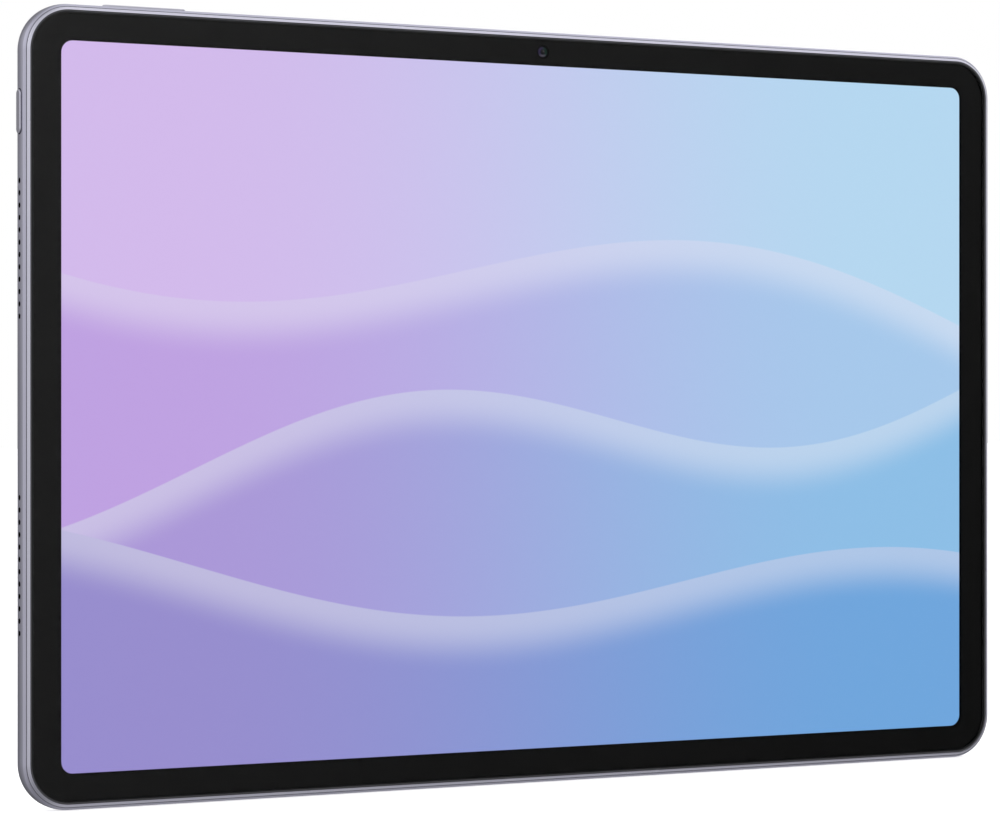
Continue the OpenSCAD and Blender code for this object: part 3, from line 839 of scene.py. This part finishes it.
@dataclass
class Housing:
    """Metal tray: rounded back, flat sides, bright lip, and every opening in it."""

    finishes: Finishes
    corner: float = 10.6 * MM
    back_round: float = 2.1 * MM
    wall: float = 3.5 * MM
    back_plate: float = 0.8 * MM
    rim_width: float = 1.4 * MM
    front_round: float = 0.8 * MM
    front_turn: float = 72.0
    lip_drop: float = 0.55 * MM
    groove: float = 0.16 * MM
    bulge: float = 0.06 * MM
    ledge: float = 5.3 * MM
    row_start: float = 19.85 * MM
    row_pitch: float = 2.7 * MM
    row_holes: int = 12
    hole: float = 0.6 * MM
    hole_edge: float = 0.03 * MM
    key_gap: float = 0.15 * MM
    key_wall: float = 1.2 * MM

    def __post_init__(self) -> None:
        """Reads the tray's place from the frame."""
        self.span = Span.of("rear_housing")
        self.back = self.span.high.y
        self.half_long = self.span.size.x / 2
        self.half_short = self.span.size.z / 2
        self.depth = self.span.size.y
        self.middle = Vector((0, self.back, self.half_short))

    def _profile(self) -> tuple[Profile, dict[int, int]]:
        """Gives the section of the rim and the finish of its bands.

        Returns:
            Points of (inset, height above the back), and the finish number by point.
        """
        back, front = self.back_round, self.front_round
        lip_low = self.depth - self.lip_drop
        turn = math.radians(self.front_turn)
        start = front * (1 - math.cos(turn))
        wall_top = lip_low - front * math.sin(turn)
        outside = [(back - x, back + v) for x, v in arc((0, 0), back, -90, 0, 14)]
        outside += [(front - x, wall_top + v)
                    for x, v in arc((0, 0), front, 0, self.front_turn, 10)]
        outside = [(inset + self._crown(v, wall_top), v) for inset, v in outside]
        middle = [(back + (wall_top - back) * i / 6) for i in range(1, 6)]
        outside[15:15] = [(self._crown(v, wall_top), v) for v in middle]
        edge = [(start + 0.02 * MM, lip_low - self.groove * 0.7),
                (start + self.groove, lip_low - self.groove * 0.6)]
        lip = [(start + self.groove + 0.02 * MM, lip_low + 0.14 * MM),
               (start + self.groove + 0.2 * MM, lip_low + 0.29 * MM),
               (self.rim_width - 0.28 * MM, self.depth - 0.12 * MM),
               (self.rim_width - 0.12 * MM, self.depth - 0.03 * MM),
               (self.rim_width - 0.03 * MM, self.depth),
               (self.rim_width, self.depth - 0.03 * MM)]
        inside = [(self.rim_width, self.ledge), (self.wall, self.ledge),
                  (self.wall, self.back_plate)]
        profile = outside + edge + lip + inside
        first = len(outside) + len(edge)
        finishes = {i: 1 for i in range(first, first + len(lip))}
        # The groove bands, from the wall's top round to the lip, take the darker metal as painted
        # shade.
        finishes |= {i: 2 for i in range(len(outside) - 1, first)}
        return profile, finishes

    def _crown(self, height: float, wall_top: float) -> float:
        """Gives how far the slightly crowned wall falls back at a height."""
        half = (wall_top - self.back_round) / 2
        off = (height - self.back_round - half) / half
        return self.bulge * min(1.0, off * off)

    def _row_places(self) -> list[float]:
        """Gives the height of every speaker hole above mid-height."""
        ups = [self.row_start + i * self.row_pitch for i in range(self.row_holes)]
        return [-up for up in reversed(ups)] + ups

    def _speaker_cutters(self, cutters: MeshShop) -> None:
        """Adds a countersunk pin for each speaker hole."""
        mid_depth = self.span.high.y - Span.of("cover_glass").low.y
        for facing, sign in ((Facing.LEFT, -1), (Facing.RIGHT, 1)):
            for up in self._row_places():
                spot = Vector((sign * self.half_long, self.back - mid_depth / 2,
                               self.half_short + up))
                pin = [(self.hole, -self.wall - MM), (self.hole, -self.hole_edge),
                       (self.hole + self.hole_edge, 0.0), (self.hole + self.hole_edge, MM)]
                cutters.lathe(pin, facing.at(spot), 24)

    def _key_cutters(self, cutters: MeshShop) -> None:
        """Adds the slots of both keys, with their edges broken."""
        for node, facing in (("power_button", Facing.LEFT), ("volume_rocker", Facing.TOP)):
            key = Span.of(node)
            if facing is Facing.LEFT:
                flange, head = key.size.z / 2, (key.size.y - MM) / 2
                length = flange - MM
                spot = Vector((-self.half_long, key.middle.y, key.middle.z))
            else:
                flange, head = key.size.x / 2, (key.size.y - MM) / 2
                length = flange - 0.8 * MM
                spot = Vector((key.middle.x, key.middle.y, self.span.high.z))
            gap = self.key_gap
            slot = [(0.0, -self.key_wall - 0.4 * MM), (0.0, -0.1 * MM), (-0.08 * MM, 0.02 * MM),
                    (-0.08 * MM, MM)]
            cutters.sweep(length + gap, head + gap, head + gap, slot, facing.at(spot), 12)

    def _port_cutters(self, cutters: MeshShop) -> None:
        """Adds the charging port's mouth, the microphone hole and the rear camera's hole."""
        port = Span.of("usb_shell")
        mouth = Vector((self.half_long, port.middle.y, port.middle.z))
        short = port.size.y / 2 + 0.05 * MM
        slot = [(0.0, -self.wall - MM), (0.0, -0.12 * MM), (-0.12 * MM, 0.0), (-0.12 * MM, MM)]
        cutters.sweep(port.size.z / 2 + 0.05 * MM, short, short, slot, Facing.RIGHT.at(mouth), 16)
        ear = Span.of("microphones")
        hole = Vector((ear.low.x + 1.8 * MM, port.middle.y, self.span.high.z))
        cutters.lathe([(0.4 * MM, -self.wall - MM), (0.4 * MM, MM)], Facing.TOP.at(hole), 24)
        ring = Span.of("rear_camera_ring")
        eye = Vector((ring.middle.x, self.back, ring.middle.z))
        reach = ring.size.x / 2 - 1.5 * MM
        cutters.lathe([(reach, -self.back_plate - 0.3 * MM), (reach, MM)],
                      Facing.BACK.at(eye), 64)

    def _bosses(self, shop: MeshShop) -> None:
        """Adds a short post under each small screw."""
        for spot in screw_places():
            foot = Vector((spot.x, self.back - self.back_plate + 0.02 * MM, spot.z))
            tall = foot.y - (spot.y + 0.5 * MM)
            shop.lathe([(1.4 * MM, 0.0), (1.4 * MM, tall), (0.55 * MM, tall), (0.5 * MM, 0.1 * MM)],
                       Facing.FRONT.at(foot), 24)

    def build(self) -> None:
        """Builds and dresses the tray."""
        profile, finishes = self._profile()
        shop = MeshShop()
        shop.sweep(self.half_long, self.half_short, self.corner, profile,
                   Facing.FRONT.at(self.middle), 40, False, finishes)
        tray = shop.piece("housing_shell", [self.finishes.metal, self.finishes.lip,
                                            self.finishes.seam])
        cutters = MeshShop()
        self._speaker_cutters(cutters)
        self._key_cutters(cutters)
        self._port_cutters(cutters)
        # The faces inside every cut take the near-black finish as painted shade.
        carve(tray, cutters, self.finishes.hole)
        settle(tray, "tablet", "body_metal", "rear_housing")
        posts = MeshShop()
        self._bosses(posts)
        settle(posts.piece("housing_posts", [self.finishes.metal]), "tablet", "body_metal")


def screw_places() -> list[Vector]:
    """Finds each small screw's head in the frame.

    Returns:
        The middle of each screw's top face.
    """
    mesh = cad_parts["screws"].data
    spots: list[Vector] = []
    for vert in mesh.vertices:
        near = [s for s in spots if (s.xz - vert.co.xz).length < 2.5 * MM]
        if not near:
            spots.append(vert.co.copy())
    found = []
    for spot in spots:
        own = [v.co for v in mesh.vertices if (v.co.xz - spot.xz).length < 2.5 * MM]
        low = Vector(min(c[i] for c in own) for i in range(3))
        high = Vector(max(c[i] for c in own) for i in range(3))
        found.append(Vector(((low.x + high.x) / 2, low.y, (low.z + high.z) / 2)))
    return found


@dataclass
class FrontStack:
    """Glass, dark ring round it, black print and the lit picture."""

    finishes: Finishes
    corner: float = 10.6 * MM
    edge_round: float = 0.25 * MM
    air: float = 0.02 * MM
    picture_half: tuple[float, float] = (121.5 * MM, 80.6 * MM)
    picture_corner: float = 2.7 * MM
    picture_sunk: float = 0.3 * MM

    def _glass(self) -> None:
        """Builds the glass with a rounded front edge."""
        span = Span.of("cover_glass")
        half_long, half_short = span.size.x / 2, span.size.z / 2
        thick = span.size.y - self.air
        inset = Span.of("rear_housing").size.x / 2 - half_long
        r = self.edge_round
        profile = [(0.06 * MM, 0.0), (0.0, 0.06 * MM)]
        profile += [(r - r * math.cos(t), thick - r + r * math.sin(t))
                    for t in (math.radians(90 * i / 8) for i in range(9))]
        shop = MeshShop()
        place = Facing.FRONT.at(Vector((0, span.high.y - self.air, span.middle.z)))
        dark = {i: 1 for i in range(len(profile) - 1)}
        shop.sweep(half_long, half_short, self.corner - inset, profile, place, 40, False, dark)
        settle(shop.piece("front_glass", [self.finishes.glass, self.finishes.edge]), "tablet",
               "front_glass", "cover_glass", "optical_bond")

    def _ring(self) -> None:
        """Builds the dark ring that fills the gap round the glass."""
        glass, ring = Span.of("cover_glass"), Span.of("glass_gasket")
        half_long, half_short = ring.size.x / 2, ring.size.z / 2
        inset = Span.of("rear_housing").size.x / 2 - half_long
        gap = half_long - glass.size.x / 2 - 0.01 * MM
        low, high = 0.0, ring.size.y
        foot = 1.2 * MM
        step = glass.high.y - ring.low.y
        top = high - 0.1 * MM
        profile = [(0.01 * MM, low), (0.01 * MM, top), (0.06 * MM, high), (gap - 0.06 * MM, high),
                   (gap - 0.01 * MM, top), (gap - 0.01 * MM, high - step - 0.02 * MM),
                   (foot, high - step - 0.02 * MM), (foot, low)]
        shop = MeshShop()
        place = Facing.FRONT.at(Vector((0, ring.high.y, ring.middle.z)))
        shop.sweep(half_long, half_short, self.corner - inset, profile, place, 40, True)
        settle(shop.piece("gasket_ring", [self.finishes.gasket]), "tablet", "gasket",
               "glass_gasket")

    def build(self) -> None:
        """Builds and dresses the whole stack."""
        self._glass()
        self._ring()
        dress("border_mask", self.finishes.print)
        self._panel()

    def _panel(self) -> None:
        """Builds the cell, with the lit picture sunk a little behind its front."""
        cell, mask = Span.of("display_panel"), Span.of("border_mask")
        tall = cell.size.y - self.picture_sunk
        sheet = 0.03 * MM
        shop = MeshShop()
        place = Facing.FRONT.at(Vector((0, cell.high.y, cell.middle.z)))
        shop.sweep(cell.size.x / 2, cell.size.z / 2, self.picture_corner,
                   [(0.03 * MM, 0.0), (0.0, 0.03 * MM), (0.0, tall - 2 * sheet),
                    (0.03 * MM, tall - sheet)], place, 16)
        place = Facing.FRONT.at(Vector((0, cell.high.y, mask.middle.z)))
        shop.sweep(*self.picture_half, self.picture_corner,
                   [(0.0, tall - 1.2 * sheet), (0.0, tall)], place, 24, False, {0: 0, 1: 1})
        picture = ScreenPicture(middle=Vector((0, 0, mask.middle.z))).make()
        settle(shop.piece("lit_panel", [self.finishes.print, picture]), "tablet", "screen",
               "display_panel")


@dataclass
class Keys:
    """Power key on the left side and volume rocker on the top."""

    finishes: Finishes
    edge: float = 0.22 * MM
    flange: float = 0.5 * MM

    def _key(self, name: str, node: str, body: str, facing: Facing, extra: float,
             nubs: list[float], nub_tall: float) -> None:
        """Builds one key: head with a soft edge, flange and the nubs that press its switches.

        Args:
            name: Name of the piece.
            node: CAD node that it stands for.
            body: CAD body that it moves with.
            facing: Which way its head points.
            extra: How far the flange is longer than the head at each end.
            nubs: Places of its nubs along its length.
            nub_tall: Height of each nub.
        """
        span = Span.of(node)
        if facing is Facing.LEFT:
            long_half, tall = span.size.z / 2, span.size.x
            root = Vector((span.high.x, span.middle.y, span.middle.z))
        else:
            long_half, tall = span.size.x / 2, span.size.z
            root = Vector((span.middle.x, span.middle.y, span.low.z))
        place = facing.at(root)
        wide = span.size.y / 2
        short = wide - 0.5 * MM
        head = long_half - extra
        r = self.edge
        base = nub_tall + self.flange
        profile = [(0.0, base - 0.02 * MM)]
        profile += [(r - r * math.cos(t), tall - r + r * math.sin(t))
                    for t in (math.radians(90 * i / 7) for i in range(8))]
        shop = MeshShop()
        shop.sweep(head, short, short, profile, place, 20)
        plate = [(0.05 * MM, nub_tall), (0.0, nub_tall + 0.05 * MM), (0.0, base - 0.05 * MM),
                 (0.05 * MM, base)]
        shop.sweep(long_half, wide, wide, plate, place, 16)
        for along in nubs:
            shift = place @ Matrix.Translation((along, 0, 0))
            shop.lathe([(0.55 * MM, 0.0), (0.75 * MM, 0.1 * MM), (0.75 * MM, nub_tall + 0.02 * MM)],
                       shift, 24)
        settle(shop.piece(name, [self.finishes.key_metal]), body, "key_metal", node)

    def build(self) -> None:
        """Builds and dresses both keys."""
        self._key("power_key", "power_button", "power_key", Facing.LEFT, MM, [0.0], 0.6 * MM)
        self._key("volume_key", "volume_rocker", "volume_key", Facing.TOP, 0.8 * MM,
                  [-7 * MM, 7 * MM], 0.3 * MM)


@dataclass
class FrontCamera:
    """Small camera in the middle of the top border."""

    finishes: Finishes
    eye: float = 1.25 * MM
    pupil: float = 0.22 * MM

    def build(self) -> None:
        """Builds a ringed barrel with a domed lens behind the window in the print."""
        lens = Span.of("front_camera_lens")
        place = Facing.FRONT.at(Vector((lens.middle.x, lens.high.y, lens.middle.z)))
        radius, tall = lens.size.x / 2, lens.size.y
        eye = self.eye
        barrel = [(radius, 0.0), (radius, tall - 0.04 * MM), (radius - 0.04 * MM, tall),
                  (eye + 0.1 * MM, tall), (eye + 0.04 * MM, tall - 0.06 * MM),
                  (eye - 0.02 * MM, tall - 0.1 * MM), (eye - 0.04 * MM, 0.0)]
        shop = MeshShop()
        shop.lathe(barrel, place, 64, True)
        settle(shop.piece("front_camera_barrel", [self.finishes.hole]), "tablet",
               "black_plastic", "front_camera_lens")
        low = tall - 0.2 * MM
        dome = [(eye * (1 - i / 10), low + 0.18 * MM * (1 - (1 - i / 10) ** 2))
                for i in range(10)]
        iris = [(eye, 0.05 * MM)] + dome
        top = place @ Vector((0, 0, tall))
        # Both lenses take the default painted sheen, glint and pale lower reflection colours.
        tint = CoatedLens("front_lens_painted_sheen", top, eye, bend=1.22).make()
        pupil = CoatedLens("front_lens_pupil", top, self.pupil, bend=3.6).make()
        shop = MeshShop()
        shop.lathe(iris, place, 64)
        bead = arc((0, low + 0.14 * MM), self.pupil, 0, 81, 7)
        bead = [(x, low + 0.14 * MM + (v - low - 0.14 * MM) * 0.25) for x, v in bead]
        aside = place @ Matrix.Translation((0.15 * MM, 0.1 * MM, 0))
        shop.lathe([(self.pupil, low)] + bead, aside, 32, False, {i: 1 for i in range(8)})
        settle(shop.piece("front_camera_eye", [tint, pupil]), "tablet", "lens")
        dress("front_camera_module", self.finishes.black)
        dress("light_sensor", self.finishes.black)


@dataclass
class RearCamera:
    """Raised ring on the back with a lens, its glass and the flash lamp."""

    finishes: Finishes

    def build(self) -> None:
        """Builds and dresses the rear camera's pieces."""
        ring = Span.of("rear_camera_ring")
        back = Span.of("rear_housing").high.y
        proud = ring.high.y - back
        place = Facing.BACK.at(Vector((ring.middle.x, back, ring.middle.z)))
        outer = ring.size.x / 2
        inner = outer - 2.5 * MM
        sink = back - ring.low.y
        band = [(outer, 0.0), (outer, proud - 0.35 * MM), (outer - 0.06 * MM, proud - 0.2 * MM),
                (outer - 0.3 * MM, proud), (inner + 0.25 * MM, proud),
                (inner, proud - 0.22 * MM), (inner, -sink), (inner + 0.95 * MM, -sink),
                (inner + 0.95 * MM, 0.0)]
        shop = MeshShop()
        shop.lathe(band, place, 128, True, {2: 1, 4: 1})
        settle(shop.piece("rear_camera_trim", [self.finishes.key_metal, self.finishes.lip]),
               "tablet", "key_metal", "rear_camera_ring")
        self._window(place, inner - 0.03 * MM, proud)
        self._flash(proud)
        dress("rear_camera_module", self.finishes.black)

    def _window(self, place: Matrix, reach: float, proud: float) -> None:
        """Builds the dark window disc and the stepped lens in its middle.

        Args:
            place: Matrix of the camera's axis.
            reach: Radius of the window.
            proud: Height of the ring above the back.
        """
        top = proud - 0.12 * MM
        disc = [(reach, top - 0.4 * MM), (reach, top - 0.04 * MM), (reach - 0.04 * MM, top),
                (3.7 * MM, top), (3.6 * MM, top - 0.1 * MM), (3.6 * MM, top - 0.4 * MM)]
        shop = MeshShop()
        shop.lathe(disc, place, 96, True)
        # Its second and third colours are the painted ring sheen and painted glint, both near black
        # here.
        pane = CoatedLens("camera_window", place.translation, 20 * MM, (0.006, 0.006, 0.008),
                          (0.01, 0.01, 0.014), (0.008, 0.008, 0.01)).make()
        settle(shop.piece("rear_camera_window", [pane]), "tablet", "lens", "rear_camera_glass")
        steps = [(3.58 * MM, top - 0.45 * MM), (3.58 * MM, top - 0.12 * MM),
                 (3.1 * MM, top - 0.16 * MM), (3.0 * MM, top - 0.3 * MM),
                 (2.5 * MM, top - 0.34 * MM), (2.4 * MM, top - 0.5 * MM),
                 (1.8 * MM, top - 0.54 * MM), (1.75 * MM, top - 0.7 * MM),
                 (1.75 * MM, top - 1.0 * MM), (3.58 * MM, top - 1.0 * MM)]
        shop = MeshShop()
        shop.lathe(steps, place, 96, True)
        settle(shop.piece("rear_lens_barrel", [self.finishes.black]), "tablet", "black_plastic")
        dome = [(1.76 * MM * math.cos(t), top - 0.85 * MM + 0.35 * MM * math.sin(t))
                for t in (math.radians(90 * i / 10) for i in range(11))]
        shop = MeshShop()
        shop.lathe([(1.76 * MM, top - 0.98 * MM)] + dome, place, 64)
        # The rear lens takes the default painted sheen, glint and pale lower reflection colours.
        tint = CoatedLens("rear_lens_painted_sheen", place @ Vector((0, 0, top - 0.5 * MM)),
                          1.76 * MM).make()
        settle(shop.piece("rear_lens_eye", [tint]), "tablet", "lens")

    def _flash(self, proud: float) -> None:
        """Builds the ridged cap over the flash lamp."""
        lamp = Span.of("flash_lamp")
        back = Span.of("rear_housing").high.y
        place = Facing.BACK.at(Vector((lamp.middle.x, back, lamp.middle.z)))
        top = proud - 0.1 * MM
        ridges = [(1.2 * MM, top - 0.3 * MM), (1.2 * MM, top)]
        for step in range(5):
            radius = (1.05 - 0.2 * step) * MM
            ridges += [(radius, top + 0.015 * MM), (radius - 0.05 * MM, top - 0.06 * MM)]
        ridges += [(0.05 * MM, top)]
        shop = MeshShop()
        shop.lathe(ridges, place, 48)
        settle(shop.piece("flash_cap", [self.finishes.lamp]), "tablet", "lamp", "flash_lamp")


@dataclass
class ChargingPort:
    """Metal sleeve, contact tongue and its gold pads."""

    finishes: Finishes
    sheet: float = 0.3 * MM
    pads: int = 12

    def build(self) -> None:
        """Builds and dresses the port."""
        sleeve = Span.of("usb_shell")
        mouth = Facing.RIGHT.at(Vector((sleeve.high.x, sleeve.middle.y, sleeve.middle.z)))
        long_half, short_half, deep = sleeve.size.z / 2, sleeve.size.y / 2, sleeve.size.x
        t = self.sheet
        profile = [(0.0, -deep), (0.0, -0.1 * MM), (0.08 * MM, 0.0), (t - 0.08 * MM, 0.0),
                   (t, -0.1 * MM), (t, -deep)]
        shop = MeshShop()
        shop.sweep(long_half, short_half, short_half, profile, mouth, 20, True)
        settle(shop.piece("port_sleeve", [self.finishes.port]), "tablet", "port_metal",
               "usb_shell")
        self._tongue(sleeve)

    def _tongue(self, sleeve: Span) -> None:
        """Builds the tongue with a row of pads on each face."""
        tongue = Span.of("usb_tongue")
        mid = sleeve.middle
        root = sleeve.low.x + 1.2 * MM
        shop = MeshShop()
        shop.sweep(sleeve.size.z / 2 - 0.31 * MM, sleeve.size.y / 2 - 0.31 * MM,
                   sleeve.size.y / 2 - 0.31 * MM, [(0.0, 0.0), (0.0, 1.2 * MM)],
                   Facing.RIGHT.at(Vector((sleeve.low.x, mid.y, mid.z))), 16)
        shop.block(Vector((root - 0.1 * MM, mid.y - 0.35 * MM, mid.z - 3.3 * MM)),
                   Vector((tongue.high.x, mid.y + 0.35 * MM, mid.z + 3.3 * MM)), 0, 0.12 * MM)
        shop.block(Vector((tongue.low.x, mid.y - 0.65 * MM, mid.z - 3.6 * MM)),
                   Vector((sleeve.low.x + 0.02 * MM, mid.y + 0.85 * MM, mid.z + 3.6 * MM)), 0,
                   0.1 * MM)
        for side in (-1, 1):
            for i in range(self.pads):
                up = mid.z + (i - (self.pads - 1) / 2) * 0.5 * MM
                face = mid.y + side * 0.35 * MM
                shop.block(Vector((root + 1.2 * MM, face - 0.02 * MM, up - 0.13 * MM)),
                           Vector((tongue.high.x - 0.5 * MM, face + 0.02 * MM, up + 0.13 * MM)), 1)
        settle(shop.piece("port_tongue", [self.finishes.black, self.finishes.gold]), "tablet",
               "black_plastic", "usb_tongue")


@dataclass
class Fasteners:
    """Small screws with a round recess in each head."""

    finishes: Finishes
    head: float = 1.0 * MM
    tall: float = 0.35 * MM

    def build(self) -> None:
        """Builds one screw at each place that the frame gives."""
        shop = MeshShop()
        for spot in screw_places():
            place = Facing.FRONT.at(Vector((spot.x, spot.y + self.tall, spot.z)))
            shank = [(0.45 * MM, -1.1 * MM), (0.49 * MM, -1.0 * MM), (0.49 * MM, 0.0)]
            head = [(self.head, 0.0), (self.head, self.tall - 0.12 * MM),
                    (self.head - 0.12 * MM, self.tall), (0.42 * MM, self.tall),
                    (0.36 * MM, self.tall - 0.16 * MM)]
            shop.lathe(shank + head, place, 28)
        settle(shop.piece("small_screws", [self.finishes.screw]), "tablet", "screw_steel",
               "screws")


@dataclass
class Insides:
    """Electronics, batteries, speakers and the backlight, kept as the frame has them."""

    finishes: Finishes

    def build(self) -> None:
        """Dresses every inner node."""
        f = self.finishes
        kits = {
            f.film: ("optical_films", "reflector_sheet"),
            f.guide: ("light_guide",),
            f.lamp: ("led_bar",),
            f.steel: ("backlight_frame", "processor_shield", "power_shield", "power_bracket",
                      "volume_bracket"),
            f.flex: ("display_flex", "link_flex", "button_flex", "antenna_left",
                     "antenna_right"),
            f.wrap: ("battery_left", "battery_right"),
            f.board: ("battery_board", "main_board", "usb_board"),
            f.graphite: ("heat_spreader",),
            f.black: ("speaker_upper_left", "speaker_lower_left", "speaker_upper_right",
                      "speaker_lower_right"),
            f.cloth: ("speaker_mesh",),
            f.gold: ("power_switch", "volume_switches", "microphones"),
        }
        for finish, nodes in kits.items():
            for node in nodes:
                dress(node, finish)


# ---------------------------------------------------------------- studio


@dataclass
class Studio:
    """Pale floor, soft light all round, and the camera to the left of the screen."""

    yaw: float = 29.014
    distance: float = 0.82736
    aside: float = 0.01047
    above_middle: float = 0.00037
    rise: float = -0.0052
    lens: float = 126.18
    sensor: float = 36.0
    floor_half: float = 6.0
    screens: tuple[tuple[Colour, float, float, float], ...] = (
        ((0.85, -0.53, -0.15), 0.65, 1.0, 0.17), ((-0.1, 0.99, 0.0), 0.8, 0.98, 0.25),
        ((-0.1, 0.3, 0.95), 0.7, 0.95, 0.5), ((0.15, 0.86, 0.5), 0.86, 0.98, 0.35),
        ((0.15, 0.86, -0.5), 0.86, 0.98, 0.35), ((-0.3, -0.6, 0.74), 0.85, 0.97, 0.75),
        ((-0.3, -0.6, -0.74), 0.85, 0.97, 0.6), ((-0.4, 0.15, -0.9), 0.85, 0.97, 0.6))

    def _camera(self) -> None:
        """Sets the camera level, to the left of the screen's own axis."""
        body = Span.of("rear_housing")
        front = Span.of("cover_glass").low.y
        turn = math.radians(self.yaw)
        forward = Vector((math.sin(turn), math.cos(turn), 0))
        right = Vector((math.cos(turn), -math.sin(turn), 0))
        centre = Vector((0, front, body.size.z / 2 + self.above_middle))
        data = bpy.data.cameras.new("camera")
        data.sensor_width = self.sensor
        data.lens = self.lens
        data.shift_y = self.rise
        data.clip_start = 0.01
        camera = bpy.data.objects.new("camera", data)
        bpy.context.scene.collection.objects.link(camera)
        camera.location = centre - forward * self.distance - right * self.aside
        camera.rotation_euler = (math.radians(90), 0, -turn)
        bpy.context.scene.camera = camera

    def _floor(self) -> None:
        """Lays a pale matt floor under the tablet."""
        shop = MeshShop()
        h = self.floor_half
        corners = [shop.bm.verts.new((x, y, -0.0001)) for x, y in
                   ((-h, -h), (h, -h), (h, h), (-h, h))]
        shop.bm.faces.new(corners)
        bench = Bench("pale_floor")
        cloud = bench.noise(1.5, 2.0)
        pale = bench.blend(cloud, (0.9, 0.9, 0.9), (0.93, 0.93, 0.93))
        bench.set(Base_Color=pale, Roughness=0.9, Specular_IOR_Level=0.0, Emission_Color=pale,
                  Emission_Strength=0.65)
        floor = shop.piece("floor", [bench.material])
        floor.modifiers.clear()
        floor.visible_glossy = False
        floor.visible_transmission = False

    def _lamp(self, name: str, place: Vector, aim: Vector, size: float, power: float) -> None:
        """Adds a soft square lamp.

        Args:
            name: Its name.
            place: Where it hangs, in metres.
            aim: The point that it faces.
            size: Length of its sides, in metres.
            power: Its power in watts.
        """
        data = bpy.data.lights.new(name, "AREA")
        data.size = size
        data.energy = power
        lamp = bpy.data.objects.new(name, data)
        bpy.context.scene.collection.objects.link(lamp)
        lamp.location = place
        lamp.rotation_euler = (aim - place).to_track_quat("-Z", "Y").to_euler()

    def _sky(self) -> None:
        """Sets white surroundings, with soft dark screens that shade the metal and the glass."""
        world = bpy.data.worlds.new("surroundings")
        bpy.context.scene.world = world
        world.use_nodes = True
        tree = world.node_tree
        shade = tree.nodes["Background"]
        shade.inputs["Color"].default_value = (1.0, 1.0, 1.0, 1.0)
        way = tree.nodes.new("ShaderNodeTexCoord").outputs["Generated"]
        level = self._facing(tree, way, (0, 0, 1), -0.25, 0.25, 0.62, 1.2)
        for aim, start, end, left in self.screens:
            dark = self._facing(tree, way, aim, start, end, 1.0, left)
            both = tree.nodes.new("ShaderNodeMath")
            both.operation = "MULTIPLY"
            tree.links.new(level, both.inputs[0])
            tree.links.new(dark, both.inputs[1])
            level = both.outputs[0]
        seen = tree.nodes.new("ShaderNodeLightPath")
        plain = tree.nodes.new("ShaderNodeMix")
        tree.links.new(seen.outputs["Is Camera Ray"], plain.inputs[0])
        tree.links.new(level, plain.inputs[2])
        plain.inputs[3].default_value = 1.0
        tree.links.new(plain.outputs[0], shade.inputs["Strength"])

    @staticmethod
    def _facing(tree: bpy.types.NodeTree, way: Socket, aim: Colour, start: float, end: float,
                low: float, high: float) -> Socket:
        """Maps how far a direction faces a given way to a level.

        Args:
            tree: The surroundings' node tree.
            way: The direction.
            aim: The way that it is compared with.
            start: Cosine of the angle between them that gives low.
            end: Cosine that gives high.
            low: Level at start.
            high: Level at end.

        Returns:
            The level.
        """
        dot = tree.nodes.new("ShaderNodeVectorMath")
        dot.operation = "DOT_PRODUCT"
        tree.links.new(way, dot.inputs[0])
        dot.inputs[1].default_value = tuple(Vector(aim).normalized())
        node = tree.nodes.new("ShaderNodeMapRange")
        node.interpolation_type = "SMOOTHSTEP"
        tree.links.new(dot.outputs["Value"], node.inputs["Value"])
        for key, number in zip(("From Min", "From Max", "To Min", "To Max"),
                               (start, end, low, high)):
            node.inputs[key].default_value = number
        return node.outputs[0]

    def build(self) -> None:
        """Sets up the whole studio."""
        self._camera()
        self._floor()
        self._sky()
        aim = Vector((0, 0, 0.09))
        self._lamp("lamp_above", Vector((0.3, 0.3, 1.6)), aim, 1.0, 1.2)
        self._lamp("lamp_back", Vector((0.9, 1.4, 1.0)), aim, 0.9, 3.0)
        bpy.context.scene.view_settings.view_transform = "Standard"
        bpy.context.scene.view_settings.look = "None"


def main() -> None:
    """Builds every sub-assembly in order and reports each piece."""
    logging.basicConfig(level=logging.INFO, format="%(message)s")
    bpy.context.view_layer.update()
    finishes = Finishes()
    Studio().build()
    for part in (Housing, FrontStack, Keys, FrontCamera, RearCamera, ChargingPort, Fasteners,
                 Insides):
        part(finishes).build()


if __name__ == "__main__":
    main()
